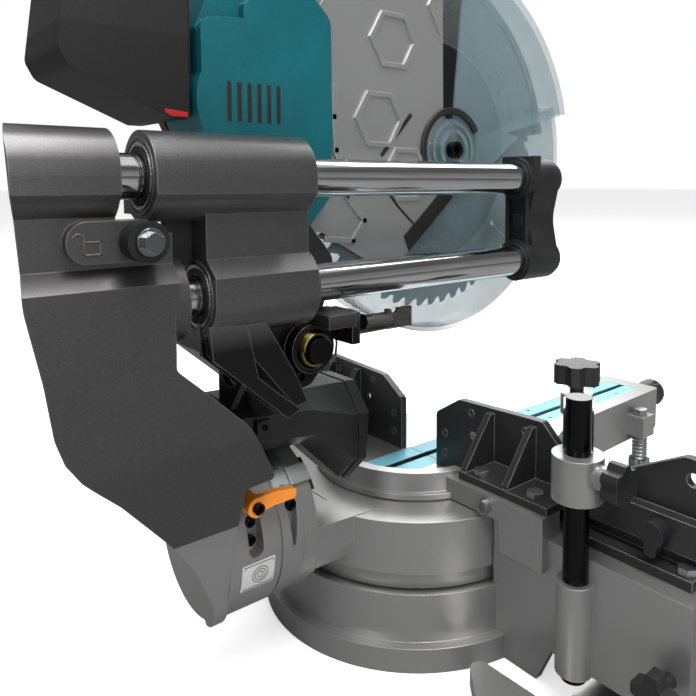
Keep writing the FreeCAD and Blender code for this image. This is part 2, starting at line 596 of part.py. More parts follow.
def hub_flange():
    """Round flange of the arm that turns on the neck's hub, with its groove, bolt slot and wedge pocket."""
    flange = cyl_y(HUB_SEAM_Y + 0.2, FLANGE_Y + 1, 0, TABLE_Z, HUB_R + 0.5)
    flange = flange.cut(tube_y(190, 191.6, 0, TABLE_Z, HUB_R - 0.8, HUB_R + 1))
    flange = flange.cut(tube_y(HUB_SEAM_Y + 10, FLANGE_Y - 10, 0, TABLE_Z, 22, 54).common(
        box(0, 60, 150, 240, 50, 180)))
    slot = plate_x([(206, 119), (206, 150), (218, 150), (218, 119)], -80, -50, 5.9)
    wedge = plate_x([(174, 148), (179, 153), (184, 148), (181, 116), (179, 116)], -80, -53,
                    [3, 3, 3, 0.8, 0.8])
    return cut(flange, slot, wedge)


def arm_casting():
    """Rear arm: two pipe clamps above, sweeping down and inward to the bevel hub."""
    section = pipe_section()
    upper = fuse(plate_y(section, ARM_UPPER_Y, ARM_REAR_Y),
                 cyl_y(ARM_UPPER_Y, ARM_REAR_Y, PIPE_X, UPPER_Z, HOUSING_R))
    lower = cyl_y(ARM_LOWER_Y, ARM_REAR_Y - 5, PIPE_X, LOWER_Z, HOUSING_R)
    right = PIPE_X + HOUSING_R
    bridge = plate_y([(SIDE_X, LOWER_Z), (SIDE_X, LOWER_Z + 14), (WEB_X, LOWER_Z + 24.6), (WEB_X, 362),
                      (right, 362), (right, LOWER_Z)], ARM_LOWER_Y + 6, ARM_UPPER_Y + 2)
    cheek = plate_x([(286, 322), (286, 291), (350, 291), (350, 322)], SIDE_X, SIDE_X + 8)
    body = fuse(upper, lower, bridge, arm_sweep(), cheek).common(arm_front_of(0))
    body = body.fuse(hub_flange())
    boss = plate_x([(LOCK_Y - 13, LOCK_Z - 12), (LOCK_Y + 40, LOCK_Z - 12), (LOCK_Y + 40, LOCK_Z + 12),
                    (LOCK_Y - 13, LOCK_Z + 12)], SIDE_X + 5, WEB_X + 3, 11.5)
    body = body.fuse(boss)
    for y, z in ((ARM_UPPER_Y, UPPER_Z), (ARM_LOWER_Y, LOWER_Z)):
        body = body.cut(cyl_y(y - 1, PIPE_END_Y, PIPE_X, z, PIPE_R))
    body = body.cut(cyl_x(-140, PIPE_X + 12, LOCK_Y, LOCK_Z, 5 + RUN))
    body = body.cut(cyl_y(160, 230, 0, TABLE_Z, 13))
    body = body.cut(cyl_x(-120, RELEASE_X + 0.5, RELEASE_Y, RELEASE_Z, 7 + RUN))
    return max(body.Solids, key=lambda solid: solid.Volume)


def slide_pipes():
    ends = (CAP_Y[0] + 14, PIPE_END_Y)
    return Part.makeCompound([tube_y(*ends, PIPE_X, z, PIPE_R - 3, PIPE_R) for z in (UPPER_Z, LOWER_Z)])


def pipe_end_cap():
    """Moulded cap that ties the front ends of both pipes."""
    y0, y1 = CAP_Y
    ends = [cyl_y(y0 + 6, y1, PIPE_X, z, 19.5) for z in (UPPER_Z, LOWER_Z)]
    web = plate_y([(PIPE_X - 19.5, LOWER_Z), (PIPE_X - 11, 357.5), (PIPE_X - 19.5, UPPER_Z),
                   (PIPE_X + 19.5, UPPER_Z), (PIPE_X + 11, 357.5), (PIPE_X + 19.5, LOWER_Z)],
                  y0 + 6, y1 - 8, [0, 40, 0, 0, 40, 0])
    face = [cyl_y(y0, y0 + 8, PIPE_X, z, 17) for z in (UPPER_Z, LOWER_Z)]
    bumper = box(PIPE_X - 20, PIPE_X + 20, y1 - 13, y1 - 5, UPPER_Z - 6, UPPER_Z + 21)
    body = fuse(web, bumper, *ends, *face)
    bores = [cyl_y(y0 + 14, y1 + 1, PIPE_X, z, PIPE_R) for z in (UPPER_Z, LOWER_Z)]
    return cut(body, *bores)


def slide_lock_bolt():
    """Hex bolt and rubber-ringed knob in the arm, pulled out to free the carriage."""
    face = SIDE_X + 4.7
    knob = cyl_x(face - 14, face, LOCK_Y, LOCK_Z, 12)
    neck = cyl_x(face - 17, face - 13, LOCK_Y, LOCK_Z, 8)
    shank = cyl_x(face - 1, PIPE_X + 6, LOCK_Y, LOCK_Z, 5)
    head = along(plate_z(ngon(6, 6), 0, 5), (face - 17, LOCK_Y, LOCK_Z), (-1, 0, 0))
    return fuse(knob, neck, shank, head)


def bevel_shaft():
    nut = along(plate_z(ngon(6, 17), 0, 12), (0, 158 - 12.2, TABLE_Z), (0, 1, 0))
    return fuse(cyl_y(140, 229.8, 0, TABLE_Z, 13), nut)


def bevel_pointer():
    """Wedge on the neck's hub that points at the scale."""
    foot = tube_y(158, HUB_SEAM_Y - 0.3, 0, TABLE_Z, HUB_R - 3, HUB_R + 4.6)
    reach = tube_y(HUB_SEAM_Y - 1, HUB_SEAM_Y + 4, 0, TABLE_Z, HUB_R + 2.4, HUB_R + 4.6)
    wedge = plate_y([(0, TABLE_Z), (-120, TABLE_Z + 96), (-120, TABLE_Z + 150)], 150, 230)
    return fuse(foot.common(wedge), reach.common(wedge))


def dust_duct():
    """Faceted duct from the arm down to a wide mouth behind the kerf."""
    def octagon(y, z, half_w, half_h, lean):
        c = 0.45
        pts = [(-half_w, -half_h * c), (-half_w, half_h * c), (-half_w * c, half_h), (half_w * c, half_h),
               (half_w, half_h * c), (half_w, -half_h * c), (half_w * c, -half_h), (-half_w * c, -half_h)]
        corners = [V(DUCT_X + px, y - pz * lean, z + pz) for px, pz in pts]
        return Part.makePolygon(corners + [corners[0]])
    rings = [(226, 212, 26, 22, 0.0), (186, 209, 33, 22, 0.0), (160, 207, 35, 22, 0.0),
             (124, 188, 38, 40, 0.0),
             (109, 186, 38, 40, 0.08)]
    outer = Part.makeLoft([octagon(*r) for r in rings], True, True)
    inside = [(226.5, 212, 26, 22, 0.0)] + rings[1:4] + [(108.4, 186, 38, 40, 0.08)]
    inner = Part.makeLoft([octagon(y, z, w - 3, h - 3, lean) for y, z, w, h, lean in inside], True, True)
    pointer_path = cyl_y(HUB_SEAM_Y - 14, HUB_SEAM_Y + 5, 0, TABLE_Z, HUB_R + 5.2)
    duct = cut(outer, inner, arm_casting(), pointer_path)
    return max(duct.Solids, key=lambda solid: solid.Volume)


# ---------------------------------------------------------------- carriage
def carriage_casting():
    """Bearing housings on both pipes, joined by a web, with the fork for the chop pivot below."""
    section = pipe_section()
    right = PIPE_X + HOUSING_R
    block = plate_y(section, CAR_UPPER_Y[0], CAR_LOWER_Y[1])
    upper = cyl_y(*CAR_UPPER_Y, PIPE_X, UPPER_Z, HOUSING_R)
    flank = plate_y([(SIDE_X, UPPER_Z), (SIDE_X, UPPER_Z - 10.4), (WEB_X, UPPER_Z - 23.4),
                     (right, UPPER_Z - 23.4), (right, UPPER_Z)], CAR_LOWER_Y[1] - 1, CAR_UPPER_Y[1])
    lower = cyl_y(*CAR_LOWER_Y, PIPE_X, LOWER_Z, HOUSING_R)
    cheek = plate_x([(250, 300), (243, 271), (206, 237), (198, 235), (166, 240), (150, 258), (152, 284),
                     (176, 300)],
                    -66, -58, [0, 6, 5, 5, 8, 12, 8, 0])
    collar = tube_x(-76, -65, PIVOT_Y, PIVOT_Z, 15, 18.5)
    back_wall = plate_x([(258, 300), (256, 280), (203, 233), (198, 236), (248, 282), (248, 300)],
                        SIDE_X + 6, -27)
    ribs = [plate_x([(262, 302), (260, 280), (206, 231), (196, 236), (228, 262), (236, 300)], x, x + 3.5)
            for x in (SIDE_X + 6, -82)]
    gusset = plate_x([(250, 300), (200, 238), (190, 240), (200, 262), (222, 300)], -98, -94)
    shield = plate_y([(-98, 300), (-98, 262), (-80, 240), (-64, 240), (-64, 300)], 236, 240).cut(
        cyl_y(230, 250, -80, 268, 12))
    fork_right = plate_x([(240, 298), (240, 284), (186, 252), (160, 252), (152, 272), (166, 290), (192, 298)],
                         -28, -21, [2, 10, 10, 12, 12, 10, 2])
    shelf = box(-66, -21, 193, 240, 287, 298)
    front = box(SIDE_X + 4, -64, 149, 173, 288, 298)
    nose = box(SIDE_X + 6, -68, 144, 151, 274, 298)
    body = fuse(block, upper, flank, lower, cheek, collar, back_wall, gusset, shield, *ribs, fork_right,
                shelf, front,
                nose)
    for y0, y1, z in ((*CAR_UPPER_Y, UPPER_Z), (*CAR_LOWER_Y, LOWER_Z)):
        body = body.cut(cyl_y(y0 - 40, y1 + 1, PIPE_X, z, PIPE_R + 1.5))
        for a, b in ((y0 - 1, y0 + 28), (y1 - 28, y1 + 1)):
            body = body.cut(cyl_y(a, b, PIPE_X, z, PIPE_R + 5))
    body = body.cut(cyl_x(SIDE_X - 2, -20, PIVOT_Y, PIVOT_Z, 8))
    body = body.cut(cyl_x(-120, -65.9, PIVOT_Y, PIVOT_Z, 15))
    return body.cut(cyl_y(140, 152, STOP_X, STOP_Z, 7)).cut(carriage_bolts())


def slide_bushings():
    """Four linear bushings pressed into the housings, with their wiper rings."""
    rings = []
    for y0, y1, z in ((*CAR_UPPER_Y, UPPER_Z), (*CAR_LOWER_Y, LOWER_Z)):
        rings += [tube_y(a, b, PIPE_X, z, PIPE_R + RUN, PIPE_R + 5) for a,
                  b in ((y0, y0 + 28), (y1 - 28, y1))]
    return Part.makeCompound(rings)


def chop_pivot_shaft():
    shaft = cyl_x(-84, -20, PIVOT_Y, PIVOT_Z, 8)
    heads = [cyl_x(-86, -83.5, PIVOT_Y, PIVOT_Z, 9.5), cyl_x(-20.9, -17, PIVOT_Y, PIVOT_Z, 12)]
    return fuse(shaft, *heads)


def torsion_spring():
    """Coil round the pivot, in the fork's collar, that lifts the head."""
    rings = [Part.makeTorus(11.6, 1.5, V(-81 + 3.1 * i, PIVOT_Y, PIVOT_Z), V(1, 0, 0)) for i in range(5)]
    sleeve = tube_x(-81, -68.6, PIVOT_Y, PIVOT_Z, 11.2, 12.0)
    return fuse(sleeve, *rings)


def depth_stop():
    """Round stop bar with a flat tab at its front end."""
    bar = cyl_y(144.2, 151, STOP_X, STOP_Z, 6.9)
    front = cyl_y(100, 145, STOP_X, STOP_Z, 7)
    tab = box(STOP_X - 2, STOP_X + 2, 78, 104, STOP_Z - 7, STOP_Z + 9)
    notch = cyl_x(STOP_X - 5, STOP_X + 5, 96, STOP_Z + 9, 4)
    return fuse(bar, front, tab).cut(notch)


def carriage_bolts():
    """Stop adjuster in the front bracket and the screw of the fork cover."""
    bolts = [along(hex_bolt(6.4, 6, 3.5, 7), (SIDE_X + 10.4, 143.9, 289), (0, -1, 0)),
             along(cap_screw(5.5, 6, 2.5, 7), (-66.2, 178, 249), (-1, 0, 0))]
    return Part.makeCompound(bolts)


# ---------------------------------------------------------------- head


def head_casting():
    """Pivot hub, arm, cross member behind the blade and the gear chamber on the right."""
    hub = cyl_x(-57.4, -29, PIVOT_Y, PIVOT_Z, 18)
    arm = plate_x([(186, 262), (186, 284), (178, 300), (214, 384), (232, 410), (190, 412), (172, 384),
                   (128, 330), (152, 262)], -46, -31, [10, 8, 20, 20, 4, 4, 20, 20, 14])
    member = plate_x([(232, 396), (232, 412), (184, 404), (176, 376), (206, 372)], -46, 60, 3)
    side = plate_x([(230, 400), (234, 436), (214, 492), (60, 492), (-40, 484), (-66, 440), (-52, 392),
                    (0, 372),
                    (70, 384), (182, 380), (206, 374)], 14, 20, [6, 30, 24, 30, 40, 30, 30, 30, 30, 20, 6])
    chamber = fuse(cyl_x(19, 46, BLADE_Y, BLADE_Z, 58), cyl_x(19, 46, SHAFT_Y, SHAFT_Z, 34))
    cavity = fuse(cyl_x(21, 43, BLADE_Y, BLADE_Z, 53), cyl_x(21, 43, SHAFT_Y, SHAFT_Z, 28))
    nose = cyl_x(6, 15, BLADE_Y, BLADE_Z, 30)
    stand = box(20, 46, 150, 236, 392, 404)
    body = fuse(hub, arm, member, side, chamber, nose, stand).cut(cavity)
    body = body.cut(cyl_x(-79, -28, PIVOT_Y, PIVOT_Z, 8 + RUN))
    body = body.cut(cyl_x(5, 22, BLADE_Y, BLADE_Z, 16)).cut(cyl_x(42, 47, BLADE_Y, BLADE_Z, 13))
    body = body.cut(cyl_x(42, 47, SHAFT_Y, SHAFT_Z, 13)).cut(cyl_x(16.5, 22, SHAFT_Y, SHAFT_Z, 11))
    body = body.cut(cyl_x(40, 47, LOCK_BUTTON_Y, LOCK_BUTTON_Z, 6 + RUN))
    seat = tube_x(28, 38, MOTOR_Y, MOTOR_Z, 11, BARREL_R - 4.2)
    tie = box(18, 38, 168, 228, 402, 413)
    return fuse(body.cut(cyl_x(13, 27.9, MOTOR_Y, MOTOR_Z, 40)), seat, tie)


def blade_case():
    """Upper case round the blade, open below and at the front left, with raised honeycomb ribs."""
    rim = sector_x(179, CASE_R, -22, 96, -30, 12, BLADE_Y, BLADE_Z)
    left = sector_x(0, CASE_R - 1, -78, 110, -30, -27, BLADE_Y, BLADE_Z)
    left = left.common(plate_x([(-6, 640), (-8, 453), (-20, 423), (-20, 378), (35, 329), (70, 318),
                                (130, 352), (400, 352),
                                (400, 640)], -31, -26))
    right = sector_x(43, CASE_R - 1, -22, 172, 9.6, 12, BLADE_Y, BLADE_Z)
    front_lip = sector_x(179, CASE_R, 96, 172, 6, 12, BLADE_Y, BLADE_Z)
    ribs = []
    for angle, reach in ((15, 92), (52, 118), (88, 130), (-22, 62)):
        a = math.radians(angle)
        y, z = BLADE_Y + reach * math.cos(a), BLADE_Z + reach * math.sin(a)
        hexagon, small = [[(y + u, z + w) for u, w in ngon(6, r)] for r in (27, 22.5)]
        ribs.append(plate_x(hexagon, -32, -29.5).cut(plate_x(small, -33, -29)).common(left_zone()))
    body = fuse(rim, left, right, front_lip, *ribs)
    return body.cut(cyl_x(-46, 80, MOTOR_Y, MOTOR_Z, BARREL_R + 0.3)).cut(cyl_x(-35, -26, BLADE_Y, BLADE_Z,
                                                                                30))


def left_zone():
    """The part of the case's left face that the honeycomb ribs may stand on."""
    return plate_x([(-4, 606), (-4, 450), (-17, 424), (-17, 380), (38, 331), (70, 322), (110, 350),
                    (128, 380),
                    (104, 480), (90, 560)], -34, -28)


def case_window():
    """Clear front of the case: side plate, rim and the dome over the arbor bolt."""
    plate = sector_x(0, CASE_R - 1, 96, 166, -29.6, -27.2, BLADE_Y, BLADE_Z)
    below = plate_x([(-20.4, 423), (-20.4, 379), (-60, 400), (-120, 440), (-60, 450)], -29.6, -27.2)
    rim = sector_x(180, CASE_R, 96.3, 166, -29.6, 5.7, BLADE_Y, BLADE_Z)
    plate = fuse(plate, below).common(plate_x([(-8.4, 640), (-8.4, 453), (-20.4, 423), (-20.4, 300),
                                               (-300, 300),
                                               (-300, 640)], -31, -26))
    dome = fuse(cyl_x(-30, -27.2, BLADE_Y, BLADE_Z, 29.6), tube_x(-35, -29.5, BLADE_Y, BLADE_Z, 15, 19),
                tube_x(-33, -29.5, BLADE_Y, BLADE_Z, 24, 27))
    return fuse(plate, rim, dome)


def belt_cover():
    """Long shell over the belt and both pulleys."""
    def outline(grow):
        return [(MOTOR_Y + 10, MOTOR_Z + 30 + grow), (MOTOR_Y + 34 + grow, MOTOR_Z),
                (MOTOR_Y + 10, MOTOR_Z - 30 - grow),
                (SHAFT_Y - 10, SHAFT_Z - 42 - grow), (SHAFT_Y - 44 - grow, SHAFT_Z),
                (SHAFT_Y - 10, SHAFT_Z + 40 + grow)]
    radii = [26, 24, 26, 30, 30, 30]
    outer = plate_x(outline(0), 46.2, 70, radii)
    inner = plate_x(outline(-3.5), 46, 66.5, [r - 3.5 for r in radii])
    return outer.cut(inner)


def motor_housing_blocks():
    """Barrel round the motor, battery mount and top hump."""
    barrel = cyl_x(-44, 46, MOTOR_Y, MOTOR_Z, BARREL_R)
    back = plate_x([(MOTOR_Y, 408), (232, 414), (238, 424), (238, 506), (MOTOR_Y, 510)], -44, 46,
                   [0, 12, 6, 10, 0])
    top = plate_x([(150, 470), (140, 505), (160, 540), (220, 540), (238, 500), (238, 460)], -34, 46,
                  [2, 20, 24, 24, 10, 2])
    return barrel, back, top


def motor_housing():
    """Shell round the motor, behind the blade case, with the battery foot at its rear."""
    shell = fuse(*motor_housing_blocks())
    hollow = fuse(cyl_x(-40, 47, MOTOR_Y, MOTOR_Z, BARREL_R - 4),
                  plate_x([(MOTOR_Y, 418), (234, 424), (234, 500), (MOTOR_Y, 504)], -40, 47, 4))
    body = shell.cut(hollow)
    body = body.cut(cyl_x(-60, 60, BLADE_Y, BLADE_Z, CASE_R + 0.3))
    body = body.cut(box(-50, 60, 120, 236, 360, 404.5)).cut(box(13.8, 60, 120, 242, 396, 470))
    body = body.cut(box(-47, 61, 120, 233, 360, 412.5))
    side = plate_x([(190, 530), (150, 540), (128, 520), (127, 440), (129, 382), (149, 359), (160, 347),
                    (186, 347),
                    (204, 380), (204, 520)], -42, -32.3, [0, 12, 16, 30, 10, 6, 4, 10, 0, 0])
    body = body.fuse(side.cut(hollow)).cut(head_casting())
    return max(body.Solids, key=lambda solid: solid.Volume)


def stator():
    core = tube_x(-26, 12, MOTOR_Y, MOTOR_Z, 23, 36)
    for i in range(6):
        a = math.radians(60 * i)
        core = core.cut(cyl_x(-27, 13, MOTOR_Y + 29 * math.cos(a), MOTOR_Z + 29 * math.sin(a), 3.5))
    coils = [tube_x(x, x + 6, MOTOR_Y, MOTOR_Z, 24, 33) for x in (-32, 12)]
    return fuse(core, *coils)


def rotor():
    """Motor shaft with its magnet core, cooling fan and belt pulley."""
    shaft = cyl_x(-38, 62, MOTOR_Y, MOTOR_Z, 5)
    core = cyl_x(-26, 12, MOTOR_Y, MOTOR_Z, 22)
    disc = cyl_x(20, 22, MOTOR_Y, MOTOR_Z, 27)
    blades = []
    for i in range(11):
        blade = box(21, 27, MOTOR_Y + 9, MOTOR_Y + 27, MOTOR_Z - 0.8, MOTOR_Z + 0.8)
        blade.rotate(V(0, MOTOR_Y, MOTOR_Z), V(1, 0, 0), 360.0 * i / 11)
        blades.append(blade)
    wheel = cyl_x(BELT_X[0], BELT_X[1] + 1, MOTOR_Y, MOTOR_Z, SMALL_PULLEY_R)
    flange = cyl_x(BELT_X[1] + 0.4, BELT_X[1] + 2, MOTOR_Y, MOTOR_Z, SMALL_PULLEY_R + 3)
    return fuse(shaft, core, disc, cyl_x(20, 27, MOTOR_Y, MOTOR_Z, 10), wheel, flange, *blades)


def gear_shaft():
    """Driven pulley, shaft and pinion in one rotating unit."""
    shaft = cyl_x(17.5, 62, SHAFT_Y, SHAFT_Z, 6)
    wheel = cyl_x(*BELT_X, SHAFT_Y, SHAFT_Z, BIG_PULLEY_R)
    for i in range(5):
        a = math.radians(72 * i)
        wheel = wheel.cut(cyl_x(40, 70, SHAFT_Y + 16 * math.cos(a), SHAFT_Z + 16 * math.sin(a), 5))
    towards = math.degrees(math.atan2(BLADE_Z - SHAFT_Z, BLADE_Y - SHAFT_Y))
    pinion = spur_gear(PINION_TEETH, MODULE, 23, 40, SHAFT_Y, SHAFT_Z, 5.9, towards)
    return fuse(shaft, wheel, pinion)


def spindle():
    """Spindle with its gear pressed on."""
    towards = math.degrees(math.atan2(SHAFT_Z - BLADE_Z, SHAFT_Y - BLADE_Y))
    gear = spur_gear(GEAR_TEETH, MODULE, 24, 38, BLADE_Y, BLADE_Z, 9.8, towards + 180.0 / GEAR_TEETH)
    return fuse(gear, cyl_x(1.2, 46, BLADE_Y, BLADE_Z, 9.9), cyl_x(-3.2, 2, BLADE_Y, BLADE_Z, 8)).cut(
        cyl_x(-4, 20, BLADE_Y, BLADE_Z, 4))


def ball_bearings():
    """Bearings of the spindle, the gear shaft and the motor."""
    rings = [bearing_x(x, x + 6, MOTOR_Y, MOTOR_Z, 5 + RUN, 11) for x in (-38.5, 30)]
    rings += [bearing_x(8, 18, BLADE_Y, BLADE_Z, 9.9 + RUN, 16),
              bearing_x(43, 46, BLADE_Y, BLADE_Z, 9.9 + RUN, 13),
              bearing_x(43, 46, SHAFT_Y, SHAFT_Z, 6 + RUN, 13),
              bearing_x(17, 21, SHAFT_Y, SHAFT_Z, 6 + RUN, 11)]
    return Part.makeCompound(rings)


def drive_belt():
    """Ribbed belt round both pulleys."""
    d = math.hypot(MOTOR_Y - SHAFT_Y, MOTOR_Z - SHAFT_Z)
    alpha = math.asin((BIG_PULLEY_R - SMALL_PULLEY_R) / d)

    def loop(extra, x0, x1):
        r1, r2 = SMALL_PULLEY_R + extra, BIG_PULLEY_R + extra
        s, c = math.sin(alpha), math.cos(alpha)
        a, b = V(x0, d + r1 * s, r1 * c), V(x0, r2 * s, r2 * c)
        upper = Part.makeLine(a, b)
        low_a, low_b = V(x0, a.y, -a.z), V(x0, b.y, -b.z)
        big = Part.Arc(b, V(x0, -r2, 0), low_b).toShape()
        lower = Part.makeLine(low_b, low_a)
        small = Part.Arc(low_a, V(x0, d + r1, 0), a).toShape()
        return Part.Face(Part.Wire([upper, big, lower, small])).extrude(V(x1 - x0, 0, 0))
    belt = loop(2.8, BELT_X[0] + 0.6, BELT_X[1] - 0.6).cut(loop(0.12, BELT_X[0] - 1, BELT_X[1] + 1))
    belt.rotate(V(0, 0, 0), V(1, 0, 0), math.degrees(math.atan2(MOTOR_Z - SHAFT_Z, MOTOR_Y - SHAFT_Y)))
    belt.translate(V(0, SHAFT_Y, SHAFT_Z))
    return belt


def blade_clamp():
    """Inner flange, outer flange and the arbor bolt that draws them together."""
    inner = fuse(cyl_x(1.15, 5.6, BLADE_Y, BLADE_Z, 24), cyl_x(-1.1, 1.2, BLADE_Y, BLADE_Z, 12.6)).cut(
        cyl_x(-5, 10, BLADE_Y, BLADE_Z, 9.9))
    outer = cyl_x(-6, -1.15, BLADE_Y, BLADE_Z, 24).cut(cyl_x(-3.3, 0, BLADE_Y, BLADE_Z, 12.7)).cut(
        cyl_x(-7, 0, BLADE_Y, BLADE_Z, 4.1))
    bolt = along(cap_screw(9, 8, 4, 20), (-6.1, BLADE_Y, BLADE_Z), (-1, 0, 0))
    return Part.makeCompound([inner, outer, bolt])


def saw_blade():
    """Toothed disc with a bore, expansion slots and small relief holes."""
    teeth, depth = 60, 7.0
    step = 2 * math.pi / teeth
    points = []
    for i in range(teeth):
        a = i * step
        for r, share in ((BLADE_R, 0.0), (BLADE_R - depth, 0.06), (BLADE_R - depth, 0.34),
                         (BLADE_R - 1.2, 0.72)):
            t = a + share * step
            points.append((BLADE_Y + r * math.cos(t), BLADE_Z + r * math.sin(t)))
    disc = plate_x(points, -1.1, 1.1).cut(cyl_x(-2, 2, BLADE_Y, BLADE_Z, 12.7))
    for i in range(5):
        slot = box(-2, 2, 118, 160, -0.8, 0.8).fuse(cyl_x(-2, 2, 118, 0, 3))
        slot.rotate(V(0, 0, 0), V(1, 0, 0), 72 * i + 2.6)
        slot.translate(V(0, BLADE_Y, BLADE_Z))
        disc = disc.cut(slot)
    return disc


def lower_guard():
    """Clear guard: two side sectors joined by a rim, turning on the spindle nose."""
    low, high = 162, 338
    rim = sector_x(GUARD_R - 3.5, GUARD_R, low, high, -24, 8.4, BLADE_Y, BLADE_Z)
    left = sector_x(50, GUARD_R - 1, low, high, -24, -21.6, BLADE_Y, BLADE_Z)
    right = sector_x(36, GUARD_R - 1, low, high, 6.2, 8.4, BLADE_Y, BLADE_Z)
    hub = tube_x(6.2, 9.2, BLADE_Y, BLADE_Z, 30 + RUN, 40)
    collar = sector_x(44, 52, low, high, -24, -21.6, BLADE_Y, BLADE_Z)
    return fuse(rim, left, right, hub, collar)


def top_handle():
    """Loop handle above the case, carried by the motor housing."""
    outer = plate_x([(150, 505), (96, 560), (30, 590), (-64, 604), (-100, 640), (-92, 684), (-56, 694),
                     (60, 690),
                     (150, 640), (214, 566), (224, 520)], -14, 18,
                    [8, 40, 40, 20, 16, 14, 12, 60, 60, 30, 8])
    inner = plate_x([(-56, 632), (46, 620), (108, 592), (126, 606), (56, 656), (-54, 664)], -30, 40,
                    [9, 30, 8, 8, 30, 9])
    body = outer.cut(inner).cut(cyl_x(-60, 60, BLADE_Y, BLADE_Z, CASE_R + 0.4))
    body = cut(body, *motor_housing_blocks())
    body = body.cut(box(-6, 10, -24, 30, 640, 682)).cut(box(-5, 9, 32, 50, 660, 720))
    return max(body.Solids, key=lambda solid: solid.Volume)


def switch_trigger():
    """Trigger under the grip bar."""
    return plate_x([(-20, 650), (24, 644), (26, 668), (-20, 672)], -5.4, 9.4, 2)


def lock_off_button():
    return box(-4.4, 8.4, 33, 49, 672, 698)


def battery():
    """Slide-on pack behind the motor housing."""
    block = plate_x([(244.6, 436), (258, 436), (322, 464), (328, 476), (318, 548), (306, 556),
                     (244.6, 556)], -38, 44,
                    [3, 6, 10, 10, 10, 8, 3])
    rails = box(-28, 34, 238.6, 245, 446, 540)
    body = fuse(block, rails).cut(cyl_x(-60, 60, MOTOR_Y, MOTOR_Z, BARREL_R + 0.5))
    return body.cut(box(-12.3, 18.3, 281.7, 300.3, 546, 570))


def battery_release():
    return box(-12, 18, 282, 300, 551, 560)


def shaft_lock():
    """Push button that stops the spindle for a blade change."""
    return cyl_x(43.5, 58, LOCK_BUTTON_Y, LOCK_BUTTON_Z, 6)


def all_parts():
    return {
        "base_casting": base_casting(),
        "base_bolts": base_bolts(),
        "mitre_scale_plate": mitre_scale(),
        "lower_fence": Part.makeCompound([lower_fence(side) for side in (-1, 1)]),
        "sliding_fence_left": sliding_fence(-1),
        "sliding_fence_right": sliding_fence(1),
        "fence_lock_left": fence_lock(-1),
        "fence_lock_right": fence_lock(1),
        "mitre_pivot_bolt": pivot_bolt(),
        "support_wing_left": support_wing(-1),
        "support_wing_right": support_wing(1),
        "support_lock_left": support_lock(-1),
        "support_lock_right": support_lock(1),
        "vise_post": vise_post(),
        "vise_arm": vise_arm(),
        "vise_arm_knob": vise_arm_knob(),
        "vise_screw": vise_screw(),
        "vise_pad": vise_pad(),
        "turntable_casting": turntable_casting(),
        "kerf_boards": kerf_boards(),
        "kerf_screws": kerf_screws(),
        "mitre_grip": mitre_grip(),
        "detent_lever": detent_lever(),
        "levelling_screw": levelling_screw(),
        "levelling_spring": levelling_spring(),
        "bevel_scale": bevel_scale(),
        "bevel_release_lever": bevel_release_lever(),
        "arm_casting": arm_casting(),
        "slide_pipes": slide_pipes(),
        "pipe_end_cap": pipe_end_cap(),
        "slide_lock_bolt": slide_lock_bolt(),
        "bevel_shaft": bevel_shaft(),
        "bevel_pointer": bevel_pointer(),
        "dust_duct": dust_duct(),
        "carriage_casting": carriage_casting(),
        "slide_bushings": slide_bushings(),
        "chop_pivot_shaft": chop_pivot_shaft(),
        "torsion_spring": torsion_spring(),
        "depth_stop": depth_stop(),
        "carriage_bolts": carriage_bolts(),
        "head_casting": head_casting(),
        "blade_case": blade_case(),
        "case_window": case_window(),
        "belt_cover": belt_cover(),
        "motor_housing": motor_housing(),
        "stator": stator(),
        "rotor": rotor(),
        "ball_bearings": ball_bearings(),
        "gear_shaft": gear_shaft(),
        "spindle": spindle(),
        "drive_belt": drive_belt(),
        "blade_clamp": blade_clamp(),
        "saw_blade": saw_blade(),
        "lower_guard": lower_guard(),
        "top_handle": top_handle(),
        "switch_trigger": switch_trigger(),
        "lock_off_button": lock_off_button(),
        "battery": battery(),
        "battery_release": battery_release(),
        "shaft_lock": shaft_lock(),
    }


def main():
    for name, shape in all_parts().items():
        save(name, shape)


if __name__ == "__main__":
    main()
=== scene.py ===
import json
import math

import bmesh
import bpy
from mathutils import Matrix, Vector


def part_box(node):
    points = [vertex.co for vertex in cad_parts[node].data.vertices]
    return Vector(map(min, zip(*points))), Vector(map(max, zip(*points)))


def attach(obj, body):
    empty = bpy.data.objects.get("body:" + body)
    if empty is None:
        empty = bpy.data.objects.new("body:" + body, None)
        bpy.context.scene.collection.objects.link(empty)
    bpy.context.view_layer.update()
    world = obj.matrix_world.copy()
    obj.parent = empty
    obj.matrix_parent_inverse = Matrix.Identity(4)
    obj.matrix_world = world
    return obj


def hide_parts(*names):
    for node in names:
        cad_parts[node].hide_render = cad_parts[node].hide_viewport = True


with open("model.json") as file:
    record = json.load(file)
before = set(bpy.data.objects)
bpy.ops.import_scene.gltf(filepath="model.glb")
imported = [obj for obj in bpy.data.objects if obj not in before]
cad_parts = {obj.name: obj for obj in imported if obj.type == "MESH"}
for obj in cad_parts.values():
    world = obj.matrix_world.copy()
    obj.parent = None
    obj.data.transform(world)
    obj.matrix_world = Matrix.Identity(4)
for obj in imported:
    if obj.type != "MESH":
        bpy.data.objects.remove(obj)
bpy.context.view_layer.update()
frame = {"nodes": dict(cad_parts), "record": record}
NODES = frame["nodes"]
SLOT_OF = {part["node"]: part["material_slot"] for part in frame["record"]["subparts"]}
MM = 0.001

